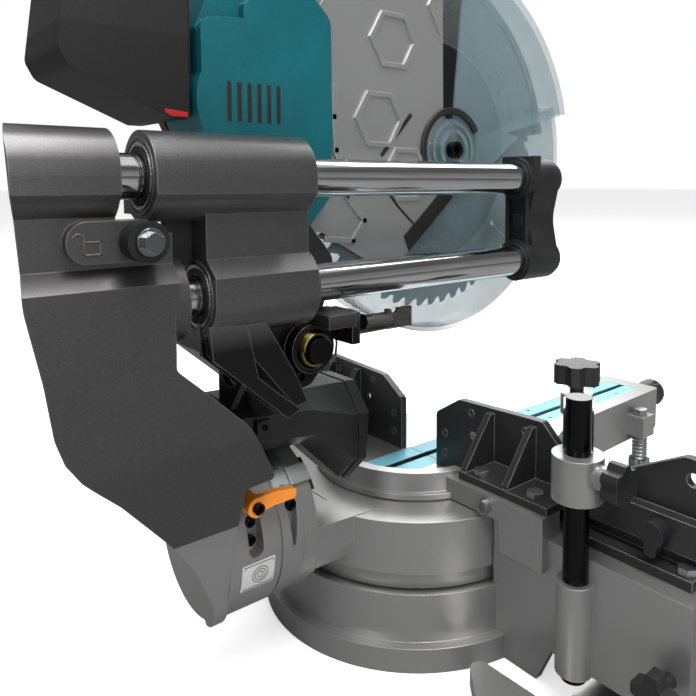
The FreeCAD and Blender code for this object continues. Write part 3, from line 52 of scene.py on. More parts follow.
# places and sizes, in mm and degrees
HUB_Z = 118.0                       # bevel axis, which runs along Y at X = 0
FOOT_RISE = 36.0                    # the arm is silver up to this height over the bevel axis
SCALE_ZERO = 40                     # place of 0 on the hub, in degrees from -X upwards
PIPE_X, UPPER_Z, LOWER_Z = -76.5, 396.0, 319.0
BLADE_Y, BLADE_Z = -19.0, 423.0     # blade centre at rest
CASE_FACE = -29.9                   # just under the left face of the blade case
CAP_FACE = -65.2                    # just under the rear face of the front cap's web
LOCK_FACE = -99.5                   # face of the slide lock's boss
DUCT_X = -24.0                      # middle of the dust duct
DUCT_STRAIGHT = 0.45                # share of each of the duct's four sides that is straight
INK_RISE = 0.08                     # half the thickness of the printed numbers


# ---------------------------------------------------------------- node helpers


class Shader:
    """A Principled material with short calls for the nodes that the finishes share."""

    def __init__(self, name, **inputs):
        self.mat = bpy.data.materials.new(name)
        self.mat.use_nodes = True
        self.tree = self.mat.node_tree
        self.bsdf = self.tree.nodes["Principled BSDF"]
        self.coord = self.tree.nodes.new("ShaderNodeTexCoord").outputs["Object"]
        for key, value in inputs.items():
            self.bsdf.inputs[key.replace("_", " ")].default_value = value

    def node(self, kind, links=None, **props):
        made = self.tree.nodes.new(kind)
        for key, value in props.items():
            setattr(made, key, value)
        for key, value in (links or {}).items():
            if isinstance(value, bpy.types.NodeSocket):
                self.tree.links.new(value, made.inputs[key])
            else:
                made.inputs[key].default_value = value
        return made

    def noise(self, scale, detail=3.0, rough=0.5, stretch=None):
        vector = self.coord
        if stretch:
            vector = self.node("ShaderNodeMapping", {"Vector": self.coord, "Scale": stretch}).outputs[0]
        return self.node("ShaderNodeTexNoise", {"Vector": vector, "Scale": scale, "Detail": detail,
                                                "Roughness": rough}).outputs["Fac"]

    def ramp(self, value, *stops):
        """stops are (position, grey or colour)."""
        made = self.node("ShaderNodeValToRGB", {"Fac": value})
        ramp = made.color_ramp
        while len(ramp.elements) < len(stops):
            ramp.elements.new(0.5)
        for element, (place, colour) in zip(ramp.elements, stops):
            element.position = place
            element.color = (*colour, 1) if isinstance(colour, tuple) else (colour, colour, colour, 1)
        return made.outputs["Color"]

    def math(self, operation, a, b=0.0):
        return self.node("ShaderNodeMath", {0: a, 1: b}, operation=operation).outputs[0]

    def mix(self, factor, a, b):
        made = self.node("ShaderNodeMix", data_type="RGBA")
        for socket, value in ((made.inputs[0], factor), (made.inputs[6], a), (made.inputs[7], b)):
            if isinstance(value, bpy.types.NodeSocket):
                self.tree.links.new(value, socket)
            else:
                socket.default_value = (*value, 1) if isinstance(value, tuple) else value
        return made.outputs[2]

    def edges(self, radius):
        """Near 1 along sharp outer edges, 0 on flats: where paint wears and light catches."""
        soft = self.node("ShaderNodeBevel", {"Radius": radius}, samples=4).outputs[0]
        sharp = self.node("ShaderNodeNewGeometry").outputs["Normal"]
        dot = self.node("ShaderNodeVectorMath", {0: soft, 1: sharp}, operation="DOT_PRODUCT").outputs["Value"]
        return self.ramp(dot, (0.78, 1.0), (0.95, 0.0))

    def bump(self, height, strength, distance, rounding=None):
        links = {"Height": height, "Strength": strength, "Distance": distance}
        if rounding:
            links["Normal"] = self.node("ShaderNodeBevel", {"Radius": rounding}, samples=4).outputs[0]
        self.set("Normal", self.node("ShaderNodeBump", links).outputs[0])

    def set(self, socket, value):
        self.tree.links.new(value, self.bsdf.inputs[socket])

    def axis(self, which):
        return self.node("ShaderNodeSeparateXYZ", {"Vector": self.coord}).outputs[which]


def paint(name, colour, flake, metallic, rough, edge=None, grain=0.25, shade=None, hub=None):
    """Die-cast metal under metallic paint: fine flakes, orange peel and lighter edges, partly worn paint and
    partly painted highlight.
    shade is (axis, low, high, colour): the paint goes over to that colour below low, partly a darker part's
    own colour and partly painted shade.
    hub is (z, radius, y, colour): the round about Y at height z, in front of y, and the foot below."""
    s = Shader(name, Metallic=metallic, Coat_Weight=0.12, Coat_Roughness=0.25)
    flakes = s.ramp(s.noise(2600, 2, 0.7), (0.42, 0.0), (0.68, 1.0))
    tone = s.mix(flakes, colour, flake)
    cloud = s.ramp(s.noise(14, 3), (0.3, 0.0), (0.7, 1.0))
    tone = s.mix(s.math("MULTIPLY", cloud, 0.12), tone, flake)
    # below low the tone goes dark: partly a darker part, partly painted shade
    if shade:
        axis, low, high, dark = shade
        limits = {"Value": s.axis(axis), "From Min": low, "From Max": high}
        tone = s.mix(s.node("ShaderNodeMapRange", limits).outputs[0], dark, tone)
    if hub:
        height, reach, rear, light = hub
        squares = [s.math("POWER", s.math("SUBTRACT", s.axis(k), place), 2.0)
                   for k, place in (("X", 0.0), ("Z", height))]
        inside = s.math("LESS_THAN", s.math("ADD", *squares), reach ** 2)
        flange = s.math("MULTIPLY", inside, s.math("LESS_THAN", s.axis("Y"), rear))
        foot = s.math("LESS_THAN", s.axis("Z"), height + FOOT_RISE * MM)
        tone = s.mix(s.math("MAXIMUM", flange, foot), tone, light)
    # lighter edge colour: partly worn paint, partly painted highlight
    if edge:
        tone = s.mix(s.math("MULTIPLY", s.edges(1.3 * MM), 0.75), tone, edge)
    s.set("Base Color", tone)
    spread = 0.02 + 0.25 * grain
    s.set("Roughness", s.ramp(s.noise(900, 3), (0.3, rough - spread), (0.7, rough + spread)))
    s.bump(s.noise(1500, 4, 0.6), grain, 0.12 * MM, 0.7 * MM)
    return s.mat


def metal(name, colour, rough, stretch=(1, 1, 1), scale=900, spread=0.12):
    """Bare metal with tool marks drawn along the short direction of stretch."""
    s = Shader(name, Metallic=1.0)
    marks = s.noise(scale, 4, 0.65, stretch)
    dark = tuple(c * 0.78 for c in colour)
    s.set("Base Color", s.mix(s.ramp(marks, (0.35, 0.0), (0.65, 1.0)), dark, colour))
    s.set("Roughness", s.ramp(marks, (0.3, max(rough - spread / 2, 0.03)), (0.7, rough + spread)))
    s.bump(marks, 0.12, 0.05 * MM, 0.4 * MM)
    return s.mat


def plastic(name, colour, light, rough, grain=900, depth=0.3, edge=0.5):
    """Moulded nylon with a spark-eroded grain and lighter edges, partly rubbed and partly painted highlight.
    """
    s = Shader(name, Specular_IOR_Level=0.45)
    cloud = s.ramp(s.noise(30, 4), (0.35, 0.0), (0.7, 1.0))
    tone = s.mix(s.math("MULTIPLY", cloud, 0.45), colour, light)
    # lighter edge colour: partly rubbed nylon, partly painted highlight
    rubbed_and_highlit = tuple(min(c * 2.2 + 0.02, 1) for c in light)
    tone = s.mix(s.math("MULTIPLY", s.edges(0.9 * MM), edge), tone, rubbed_and_highlit)
    s.set("Base Color", tone)
    s.set("Roughness", s.ramp(s.noise(grain, 3), (0.3, rough - 0.08), (0.7, rough + 0.12)))
    s.bump(s.noise(grain * 2, 4, 0.65), depth, 0.1 * MM, 0.5 * MM)
    return s.mat


def clear_plastic():
    s = Shader("tinted_polycarbonate", Roughness=0.06, IOR=1.5, Coat_Weight=0.6, Coat_Roughness=0.04)
    facing = s.node("ShaderNodeLayerWeight", {"Blend": 0.35}).outputs["Facing"]
    haze = s.ramp(s.noise(60, 3), (0.4, 0.0), (0.7, 1.0))
    tint = s.mix(s.math("MULTIPLY", haze, 0.5), (0.20, 0.30, 0.33), (0.30, 0.40, 0.43))
    s.set("Base Color", tint)
    s.set("Alpha", s.ramp(facing, (0.15, 0.30), (0.55, 0.48), (0.9, 0.95)))
    s.bump(s.noise(120, 2), 0.08, 0.2 * MM)
    return s.mat


def split(name, axis, place, below, above, rough=(0.4, 0.4), metallic=(0.0, 0.0)):
    """One moulding in two finishes that meet at a plane across the axis."""
    s = Shader(name, Specular_IOR_Level=0.25, Metallic=metallic[0])
    side = s.math("GREATER_THAN", s.axis(axis), place)
    grain = s.ramp(s.noise(800, 3), (0.3, 0.75), (0.7, 1.0))
    tone = s.mix(side, below, above)
    s.set("Base Color", s.mix(s.math("SUBTRACT", 1.0, grain), tone, (0.0, 0.0, 0.0)))
    if metallic[0] != metallic[1]:
        s.set("Metallic", s.mix(side, (metallic[0],) * 3, (metallic[1],) * 3))
    s.set("Roughness", s.mix(side, (rough[0],) * 3, (rough[1],) * 3))
    s.bump(s.noise(1200, 3), 0.15, 0.1 * MM, 0.4 * MM)
    return s.mat


def radial_steel(name, colour, rough, centre, print_from, print_to):
    """Ground plate whose marks run in circles about an axis along X, with a plain dark printed ring."""
    s = Shader(name)
    shifted = s.node("ShaderNodeVectorMath", {0: s.coord, 1: centre}, operation="SUBTRACT").outputs[0]
    flat = s.node("ShaderNodeVectorMath", {0: shifted, 1: (0, 1, 1)}, operation="MULTIPLY").outputs[0]
    radius = s.node("ShaderNodeVectorMath", {0: flat}, operation="LENGTH").outputs["Value"]
    wave = {"W": s.math("MULTIPLY", radius, 2500.0), "Scale": 1.0, "Detail": 3.0}
    rings = s.node("ShaderNodeTexNoise", wave, noise_dimensions="1D").outputs["Fac"]
    marks = s.math("ADD", s.math("MULTIPLY", rings, 0.7), s.math("MULTIPLY", s.noise(500, 3), 0.3))
    beyond = s.math("GREATER_THAN", radius, print_from)
    printed = s.math("MULTIPLY", beyond, s.math("LESS_THAN", radius, print_to))
    ground = s.mix(marks, tuple(c * 0.6 for c in colour), colour)
    s.set("Base Color", s.mix(printed, ground, (0.012, 0.013, 0.014)))
    s.set("Metallic", s.math("SUBTRACT", 1.0, printed))
    s.set("Roughness", s.ramp(marks, (0.3, rough), (0.7, rough + 0.15)))
    s.bump(marks, 0.15, 0.05 * MM, 0.3 * MM)
    return s.mat


DARK_PAINT = ((0.060, 0.058, 0.059), (0.125, 0.121, 0.120), 0.70, 0.34, (0.34, 0.33, 0.32), 0.08)
GREY = paint("grey_metallic_paint", *DARK_PAINT)
SILVER = paint("silver_paint", (0.34, 0.337, 0.336), (0.40, 0.396, 0.394), 0.74, 0.33,
               (0.50, 0.495, 0.49), 0.03)
CASE = paint("silver_case_paint", (0.36, 0.36, 0.365), (0.52, 0.52, 0.52), 0.75, 0.34,
             (0.78, 0.78, 0.78), 0.15)
FENCE = paint("fence_paint", (0.022, 0.022, 0.023), (0.085, 0.083, 0.082), 0.55, 0.38, (0.55, 0.55, 0.54))
# the carriage goes almost black below 284-300 mm: the bracket there is darker itself, and the rest is painted
# shade under the lower housing
CARRIAGE = paint("carriage_paint", (0.080, 0.079, 0.080), (0.16, 0.157, 0.157), 0.75, 0.31,
                 (0.42, 0.41, 0.40), 0.08, shade=("Z", 0.284, 0.300, (0.012, 0.012, 0.012)))
ARM = paint("arm_paint", *DARK_PAINT, hub=(HUB_Z * MM, 0.0632, 0.2318, (0.34, 0.336, 0.336)))
MACHINED = metal("machined_aluminium", (0.66, 0.66, 0.665), 0.26, (0.12, 1, 1))
CHROME = metal("hard_chrome", (0.80, 0.80, 0.81), 0.07, (1, 0.03, 1), 600, 0.03)
STEEL = metal("zinc_steel", (0.50, 0.50, 0.51), 0.30)
BLADE = radial_steel("ground_blade_steel", (0.55, 0.56, 0.58), 0.24,
                     (0, BLADE_Y * MM, BLADE_Z * MM), 0.040, 0.108)
BLACK = plastic("black_nylon", (0.010, 0.010, 0.011), (0.030, 0.030, 0.031), 0.42)
GRAINY = plastic("speckled_black_nylon", (0.008, 0.008, 0.008), (0.026, 0.026, 0.026), 0.40, 420, 0.5)
RUBBER = plastic("rubber", (0.014, 0.014, 0.014), (0.030, 0.030, 0.030), 0.68, 500, 0.5, 0.2)
TEAL = plastic("teal_nylon", (0.0, 0.085, 0.105), (0.0, 0.125, 0.15), 0.34, 1100, 0.15, 0.25)
AQUA = plastic("light_teal_nylon", (0.14, 0.48, 0.58), (0.26, 0.62, 0.72), 0.42, 1100, 0.15, 0.3)
ORANGE = plastic("orange_nylon", (0.80, 0.24, 0.02), (0.92, 0.33, 0.04), 0.40, 900, 0.15, 0.2)
CLEAR = clear_plastic()
SCALE = metal("satin_scale_plate", (0.62, 0.64, 0.66), 0.36, (1, 1, 1), 1400, 0.10)
OXIDE = metal("black_oxide_steel", (0.026, 0.026, 0.028), 0.16, (1, 1, 1), 900, 0.04)
ROUGH = metal("rough_turned_steel", (0.20, 0.195, 0.18), 0.36, (1, 0.3, 1), 420, 0.22)
COPPER = metal("copper_windings", (0.62, 0.30, 0.14), 0.35, (1, 0.2, 1), 900)
GREASED = metal("greased_spring_steel", (0.34, 0.29, 0.09), 0.36)
RED = plastic("red_nylon", (0.42, 0.010, 0.012), (0.55, 0.02, 0.02), 0.36, 900, 0.1, 0.2)
INK = plastic("printed_ink", (0.012, 0.012, 0.012), (0.02, 0.02, 0.02), 0.55)
LABEL = plastic("label_film", (0.46, 0.46, 0.46), (0.60, 0.60, 0.59), 0.45, 700, 0.08, 0.1)
BATTERY = split("battery_shell", "Z", 0.492, (0.014, 0.014, 0.015), (0.020, 0.020, 0.021), (0.48, 0.42))
KNOB = split("rubber_ringed_knob", "X", -0.1168, (0.55, 0.56, 0.57), (0.015, 0.015, 0.015),
             (0.16, 0.62), (1.0, 0.0))

BY_SLOT = {"cast_grey": GREY, "cast_silver": SILVER, "machined": MACHINED, "chrome": CHROME, "steel": STEEL,
           "blade_steel": BLADE, "black_plastic": BLACK, "teal_plastic": TEAL, "light_teal": AQUA,
           "orange": ORANGE, "clear": CLEAR, "scale": SCALE, "rubber": RUBBER, "copper": COPPER}
BY_NODE = {"arm_casting": ARM, "battery": BATTERY, "bevel_pointer": CASE, "blade_case": CASE,
           "carriage_bolts": OXIDE, "carriage_casting": CARRIAGE, "chop_pivot_shaft": OXIDE,
           "depth_stop": ROUGH, "dust_duct": GRAINY, "head_casting": FENCE, "lower_fence": FENCE,
           "slide_lock_bolt": KNOB, "sliding_fence_left": FENCE, "sliding_fence_right": FENCE,
           "vise_arm": SILVER, "vise_post": OXIDE, "vise_screw": BLACK}
for name, obj in NODES.items():
    obj.data.materials.clear()
    obj.data.materials.append(BY_NODE.get(name, BY_SLOT[SLOT_OF[name]]))


# ---------------------------------------------------------------- pieces


def add(name, mesh, body, material, bevel=0.0, smooth=True):
    """Links a mesh as a piece that rides on a body and takes the finish it is given."""
    obj = bpy.data.objects.new(name, mesh)
    bpy.context.scene.collection.objects.link(obj)
    mesh.materials.clear()
    mesh.materials.append(material)
    for polygon in mesh.polygons:
        polygon.use_smooth = smooth
    if bevel:
        rounding = obj.modifiers.new("edges", "BEVEL")
        rounding.width = bevel
        rounding.segments = 2
        rounding.limit_method = "ANGLE"
    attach(obj, body)
    return obj


def mesh_from(bm, name, outward=True):
    """Closes a bmesh into a mesh, with its normals turned outwards where asked."""
    if outward:
        bmesh.ops.recalc_face_normals(bm, faces=bm.faces)
    mesh = bpy.data.meshes.new(name)
    bm.to_mesh(mesh)
    bm.free()
    return mesh


def join_rings(bm, first, second, closed=True):
    """Quads between two loops of vertices."""
    count = len(first)
    for k in range(count if closed else count - 1):
        following = (k + 1) % count
        bm.faces.new((first[k], first[following], second[following], second[k]))


def tube_mesh(name, points, radius, sides=12):
    """A round wire of one radius along points."""
    bm = bmesh.new()
    rings = []
    side = None
    for i, p in enumerate(points):
        before, after = points[max(i - 1, 0)], points[min(i + 1, len(points) - 1)]
        along = (Vector(after) - Vector(before)).normalized()
        if side is None:
            side = along.orthogonal().normalized()
        side = (side - along * side.dot(along)).normalized()
        up = along.cross(side)
        rings.append([bm.verts.new(Vector(p) + (side * math.cos(q) + up * math.sin(q)) * radius)
                      for q in (2 * math.pi * k / sides for k in range(sides))])
    for first, second in zip(rings, rings[1:]):
        join_rings(bm, first, second)
    bm.faces.new(list(reversed(rings[0])))
    bm.faces.new(rings[-1])
    return mesh_from(bm, name, outward=False)


def helix(centre, axis, radius, pitch, turns, per_turn=28):
    """Points of a coil along X, Y or Z (0, 1, 2), centred at its low end."""
    points = []
    for i in range(int(turns * per_turn) + 1):
        q = 2 * math.pi * i / per_turn
        ring = [radius * math.cos(q), radius * math.sin(q)]
        ring.insert(axis, pitch * i / per_turn)
        points.append(tuple(c + r for c, r in zip(centre, ring)))
    return points


def flat_loop(points, axis, place):
    """Points (a, b) in the plane across an axis, as 3-D points; X: (y, z), Y: (x, z), Z: (x, y)."""
    loop = []
    for a, b in points:
        p = [a, b]
        p.insert(axis, place)
        loop.append(Vector(p))
    return loop


def arc(centre, radius, start, end, steps):
    """Points of an arc, in degrees, in a flat plane."""
    turns = [math.radians(start + (end - start) * k / steps) for k in range(steps + 1)]
    return [(centre[0] + radius * math.cos(q), centre[1] + radius * math.sin(q)) for q in turns]


def hexagon(centre, radius):
    """Six corners, the first at angle 0."""
    return arc(centre, radius, 0, 300, 5)


def scaled(*values):
    """Millimetres to metres."""
    return tuple(v * MM for v in values)


def prism(name, points, axis, start, end, body, slot, material, bevel=0.4):
    """One outline made solid between two planes, in mm."""
    bm = bmesh.new()
    outline = [scaled(*p) for p in points]
    rings = [[bm.verts.new(p) for p in flat_loop(outline, axis, place * MM)] for place in (start, end)]
    bm.faces.new(rings[0])
    bm.faces.new(rings[1])
    join_rings(bm, *rings)
    add(name, mesh_from(bm, name), body, material, bevel * MM, smooth=False)


def band(name, centre, axis, inner, outer, place, body, material, span=(0, 360), bevel=0.2, steps=48):
    """A flat ring, or the part of one over span, of rectangular section, in mm."""
    bm = bmesh.new()
    whole = span[1] - span[0] == 360
    outlines = [arc(scaled(*centre), radius * MM, *span, steps) for radius in (inner, outer)]
    if whole:
        outlines = [line[:-1] for line in outlines]
    loops = [[bm.verts.new(p) for p in flat_loop(outlines[r], axis, place[q] * MM)]
             for r, q in ((0, 0), (1, 0), (1, 1), (0, 1))]
    for k in range(4):
        join_rings(bm, loops[k], loops[(k + 1) % 4], closed=whole)
    if not whole:
        for k in (0, -1):
            bm.faces.new([loop[k] for loop in loops])
    add(name, mesh_from(bm, name), body, material, bevel * MM, smooth=False)


def bar_x(name, path, width, start, end, body, slot, material):
    """A line on a face across X, along (y, z) points, as one bar for each run."""
    for k, (a, b) in enumerate(zip(path, path[1:])):
        a, b = Vector(a), Vector(b)
        run = (b - a).normalized() * width * 0.5
        side = Vector((-run.y, run.x))
        outline = [a - run - side, b + run - side, b + run + side, a - run + side]
        prism(f"{name}_{k}", [tuple(p) for p in outline], 0, start, end, body, slot, material, 0.5)


def socket_screw(name, centre, face, radius, body):
    """Head of a socket screw facing -X: a rounded rim round a hexagonal recess."""
    rim = (face - radius * 0.9, face)
    band(name, centre, 0, radius * 0.52, radius, rim, body, OXIDE, bevel=0.35)
    socket = hexagon(centre, radius * 0.56)
    prism(name + "_socket", socket, 0, face, face - radius * 0.35, body, "steel", OXIDE, 0.1)


def on_hub(angle, radius, y=0.0):
    """A point round the bevel axis, in mm: angle in degrees from -X upwards. The result is in metres."""
    a = math.radians(angle)
    return Vector((-radius * math.cos(a), y, HUB_Z + radius * math.sin(a))) * MM


def numeral(name, number, size, place, normal, up, body):
    """A number as thin raised ink on a scale."""
    curve = bpy.data.curves.new(name, "FONT")
    curve.body = str(number)
    curve.size = size
    curve.extrude = INK_RISE * MM
    curve.resolution_u = 3
    curve.align_x = "CENTER"
    curve.align_y = "CENTER"
    holder = bpy.data.objects.new(name, curve)
    bpy.context.scene.collection.objects.link(holder)
    bpy.context.view_layer.update()
    mesh = bpy.data.meshes.new_from_object(holder)
    bpy.data.objects.remove(holder)
    right = up.cross(normal).normalized()
    turn = Matrix((right, up.normalized(), normal.normalized())).transposed().to_4x4()
    mesh.transform(Matrix.Translation(place) @ turn)
    mesh.name = name
    add(name, mesh, body, INK)


# ---------------------------------------------------------------- sub-parts


def chop_spring():
    """Coil round the chop pivot, in place of its plain solid."""
    wire, turns = 0.0015, 5
    low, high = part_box("torsion_spring")
    middle = (low + high) / 2
    start = (low.x + wire, middle.y, middle.z)
    coil = helix(start, 0, (high.z - low.z) / 2 - wire, (high.x - low.x - 2 * wire) / turns, turns)
    spring = add("pivot_spring", tube_mesh("pivot_spring", coil, wire), "carriage", GREASED)
    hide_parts("torsion_spring")


def bevel_scale():
    """Ticks and numbers round the arm's flange, with 0 at the pointer."""
    low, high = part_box("bevel_scale")
    radius = high.z / MM - HUB_Z
    front = low.y / MM + 0.8
    bm = bmesh.new()
    for degree in range(-2, 61):
        length = 4.5 if degree % 15 == 0 else 3.2 if degree % 5 == 0 else 1.8
        half = 0.11 if degree % 5 else 0.17
        corners = [bm.verts.new(on_hub(SCALE_ZERO + degree + side, radius + rise, y))
                   for y in (front, front + length) for side in (-half, half) for rise in (-0.1, 0.12)]
        for face in ((0, 1, 3, 2), (4, 6, 7, 5), (0, 4, 5, 1), (2, 3, 7, 6), (1, 5, 7, 3), (0, 2, 6, 4)):
            bm.faces.new([corners[k] for k in face])
    add("bevel_ticks", mesh_from(bm, "bevel_ticks"), "arm", INK, smooth=False)
    for number in (0, 15, 30, 45):
        outward = on_hub(SCALE_ZERO + number, 1000) - on_hub(0, 0)
        place = on_hub(SCALE_ZERO + number, radius + 0.1, low.y / MM + 9.5)
        numeral(f"bevel_number_{number}", number, 0.0068, place, outward, Vector((0, -1, 0)), "arm")


def mitre_scale():
    """Ticks each 5 degrees and numbers each 15 on the ring plate round the mitre axis."""
    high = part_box("mitre_scale_plate")[1]
    top = high.z / MM
    for degree in range(-50, 51, 5):
        a = math.radians(270 + degree)
        radial = Vector((math.cos(a), math.sin(a)))
        across = Vector((-radial.y, radial.x)) * (0.5 if degree % 15 == 0 else 0.3)
        near, far = radial * (158 if degree % 15 == 0 else 161), radial * 165.5
        outline = (near - across, far - across, far + across, near + across)
        prism(f"mitre_tick_{degree + 50}", outline, 2, top - 0.05, top + 0.12, "base", "scale", INK, 0.0)
    for number in (-45, -30, -15, 0, 15, 30, 45):
        a = math.radians(270 + number)
        radial = Vector((math.cos(a), math.sin(a), 0))
        place = radial * 0.1725 + Vector((0, 0, high.z + 0.0001))
        numeral(f"mitre_number_{number + 45}", abs(number), 0.0075, place, Vector((0, 0, 1)), -radial, "base")


def carriage_rims():
    """Wiper, bushing case and rim at the rear of both bearing housings, and a dark block between them that
    paints the shade of the recess there.
    """
    for name, y, z in (("upper", 295.0, UPPER_Z), ("lower", 260.0, LOWER_Z)):
        centre = (PIPE_X, z)
        band(f"wiper_{name}", centre, 1, 14.5, 18.2, (y, y + 0.9), "carriage", RUBBER)
        band(f"wiper_case_{name}", centre, 1, 19.0, 20.6, (y, y + 0.7), "carriage", MACHINED)
        band(f"rim_{name}", centre, 1, 22.6, 24.2, (y, y + 0.6), "carriage", CARRIAGE)
    # painted shade: a black block filling the recess between the two housings
    recess_shade = [(-71, 339), (-64, 339), (-64, 374), (-71, 374)]
    prism("lock_recess_shade", recess_shade, 1, 259, 278, "carriage", "cast_grey", GRAINY, 1.0)


def padlock():
    """Generic open padlock raised on the slide lock's boss."""
    raised = (LOCK_FACE - 0.5, LOCK_FACE + 0.1, "arm", "cast_grey", GREY, 0.12)
    centre = (337.5, 361)
    shackle = arc(centre, 3.6, 20, 230, 14) + list(reversed(arc(centre, 2.6, 20, 230, 14)))
    prism("padlock_shackle", shackle, 0, *raised)
    corners = [(326, 352.5), (334.5, 352.5), (334.5, 359.5), (326, 359.5)]
    for k in range(4):
        (y0, y1), (z0, z1) = (sorted(pair) for pair in zip(corners[k], corners[(k + 1) % 4]))
        edge = [(y0 - 0.5, z0 - 0.5), (y1 + 0.5, z0 - 0.5), (y1 + 0.5, z1 + 0.5), (y0 - 0.5, z1 + 0.5)]
        prism(f"padlock_body_{k}", edge, 0, *raised)


def hub_screws():
    """Screw heads of the lever, the bolt slot and the pocket, and the clip in front of the scale."""
    socket_screw("lever_bolt", (218, 163), -75.0, 4.2, "bevel_release_lever")
    socket_screw("slot_screw_low", (212, 128), -50.4, 4.0, "arm")
    socket_screw("slot_screw_high", (212, 142), -50.4, 4.0, "arm")
    socket_screw("pocket_bolt", (179, 146), -53.2, 4.4, "arm")
    band("scale_clip", (0, HUB_Z), 1, 48.0, 59.4, (153.2, 157.8), "turntable", GRAINY,
         (120, 148), 0.8)


def hub_label():
    """Plain label on the round of the hub, with three rings and a frame drawn on it."""
    edge = ((197, 62.4), (197, 62.75), (224, 62.75), (224, 62.4))
    bm = bmesh.new()
    rows = [[bm.verts.new(on_hub(-22 + 20 * k / 8, radius, y)) for y, radius in edge] for k in range(9)]
    for first, second in zip(rows, rows[1:]):
        join_rings(bm, first, second)
    bm.faces.new(rows[0])
    bm.faces.new(rows[-1])
    add("hub_label", mesh_from(bm, "hub_label"), "arm", LABEL, 0.0001, smooth=False)
    turns = [math.radians(q) for q in range(0, 361, 15)]
    for k, size in enumerate((2.2, 4.4, 6.4)):
        ring = [(-12 + size * 0.92 * math.sin(q), 209 + size * math.cos(q)) for q in turns]
        label_line(f"label_ring_{k}", ring)
    label_line("label_frame", [(-20.5, 199), (-3.5, 199), (-3.5, 222), (-20.5, 222), (-20.5, 199)])


def label_line(name, points):
    """A printed line on the label, along (angle, y) pairs round the hub."""
    path = [on_hub(angle, 62.8, y) for angle, y in points]
    add(name, tube_mesh(name, path, 0.00028, 6), "arm", INK)


def duct_ring(y, z, half_w, half_h, lean):
    """Eight corners of the dust duct at one of its sections, in mm."""
    c = DUCT_STRAIGHT
    return [Vector((DUCT_X + x, y - rise * lean, z + rise)) * MM for x, rise in
            ((-half_w, -half_h * c), (-half_w, half_h * c), (-half_w * c, half_h), (half_w * c, half_h),
             (half_w, half_h * c), (half_w, -half_h * c), (half_w * c, -half_h), (-half_w * c, -half_h))]


def duct_band(name, near, far, grow):
    """A raised band round the duct between two sections (y, z, half width, half height, lean)."""
    sunk = 0.2
    bm = bmesh.new()
    rings = []
    for (y, z, w, h, lean), extra in ((near, 0), (near, grow), (far, grow), (far, 0)):
        rings.append([bm.verts.new(p) for p in duct_ring(y, z, w + extra - sunk, h + extra - sunk, lean)])
    for first, second in zip(rings, rings[1:]):
        join_rings(bm, first, second)
    add(name, mesh_from(bm, name), "arm", GRAINY, 0.3 * MM, smooth=False)


def duct_trim():
    """Flange at the duct's mouth, the seam of its two shells and the latch on its side."""
    duct_band("duct_flange", (118, 187.1, 38, 40, 0.03), (109.4, 186, 38, 40, 0.08), 1.3)
    duct_band("duct_seam", (206, 210.5, 29.5, 22, 0), (202, 210.2, 30.2, 22, 0), 0.9)
    latch = [(-59, 209), (-52, 209), (-52, 219), (-59, 217)]
    prism("duct_latch", latch, 1, 196, 208, "arm", "black_plastic", BLACK, 0.8)
    socket_screw("latch_screw", (202, 213), -59.0, 2.2, "arm")


def fence_trim():
    """Embossed discs and a chromed hex bolt on the back of each fence half."""
    for side in (-1, 1):
        for k, (x, z) in enumerate(((38, 153), (38, 134), (72, 181), (134, 181), (131, 154))):
            centre = (side * x, z)
            band(f"fence_disc_{k}_{side + 1}", centre, 1, 2.2, 4.0, (-5.1, -4.3), "base", FENCE)
        head = hexagon((side * 77, 162), 4.2)
        prism(f"fence_bolt_{side + 1}", head, 1, -5.1, -1.8, "base", "steel", CHROME)


def case_trim():
    """Textured strip, seam, arbor link, arbor bolt, raised frame and groove on the blade case."""
    strip = [(-20, 381), (-9, 381), (-9, 389), (41, 345), (35, 330), (-20, 378)]
    prism("case_strip", strip, 0, -31.2, CASE_FACE, "head", "black_plastic", GRAINY)
    seam = [(31, 452), (66, 414.5), (69, 416.5), (34, 455)]
    prism("case_seam", seam, 0, -30.7, CASE_FACE, "head", "black_plastic", BLACK, 0.2)
    arbor = (BLADE_Y, BLADE_Z)
    band("arbor_link", arbor, 0, 34, 40, (-33.2, -29.4), "head", BLACK, (-35, 150), 0.8)
    socket_screw("arbor_bolt", arbor, -31.0, 8.0, "head")
    ridge = [(118, 470), (117.8, 446), (116, 419), (105, 381), (87, 360), (99, 343), (126, 346)]
    bar_x("case_frame", ridge, 5.0, -32.1, CASE_FACE, "head", "cast_silver", CASE)
    groove = [(62, 386), (47.6, 370.7), (27, 353), (12, 354)]
    bar_x("case_groove", groove, 2.2, -30.5, CASE_FACE, "head", "black_plastic", BLACK)


def cap_trim():
    """Inner ribs, a square latch and the pipe lips of the front cap."""
    for k, x in enumerate((-89.0, -66.0)):
        rib = [(x, 334), (x + 3, 334), (x + 3, 381), (x, 381)]
        prism(f"cap_rib_{k}", rib, 1, CAP_FACE, -59.5, "arm", "black_plastic", BLACK)
    latch = [(-84, 350), (-72, 350), (-72, 363), (-84, 363)]
    prism("cap_latch", latch, 1, CAP_FACE, -60.5, "arm", "black_plastic", GRAINY, 1.0)
    for k, z in enumerate((LOWER_Z, UPPER_Z)):
        lip = (-57.1, -55.6)
        band(f"cap_lip_{k}", (PIPE_X, z), 1, 14.3, 17.0, lip, "arm", BLACK, bevel=0.5)


def stop_pin():
    """Pin in front of the chop fork and its bent wire."""
    pin = [scaled(-74, 160, z) for z in (276, 272, 266, 262, 258)]
    add("stop_pin", tube_mesh("stop_pin", pin, 0.0026, 16), "carriage", ROUGH)
    bend = ((-74, 160, 259), (-74, 152, 257), (-70, 146, 260), (-66, 142, 268), (-64, 142, 278))
    wire = [scaled(*p) for p in bend]
    add("stop_wire", tube_mesh("stop_wire", wire, 0.0010, 10), "carriage", STEEL)


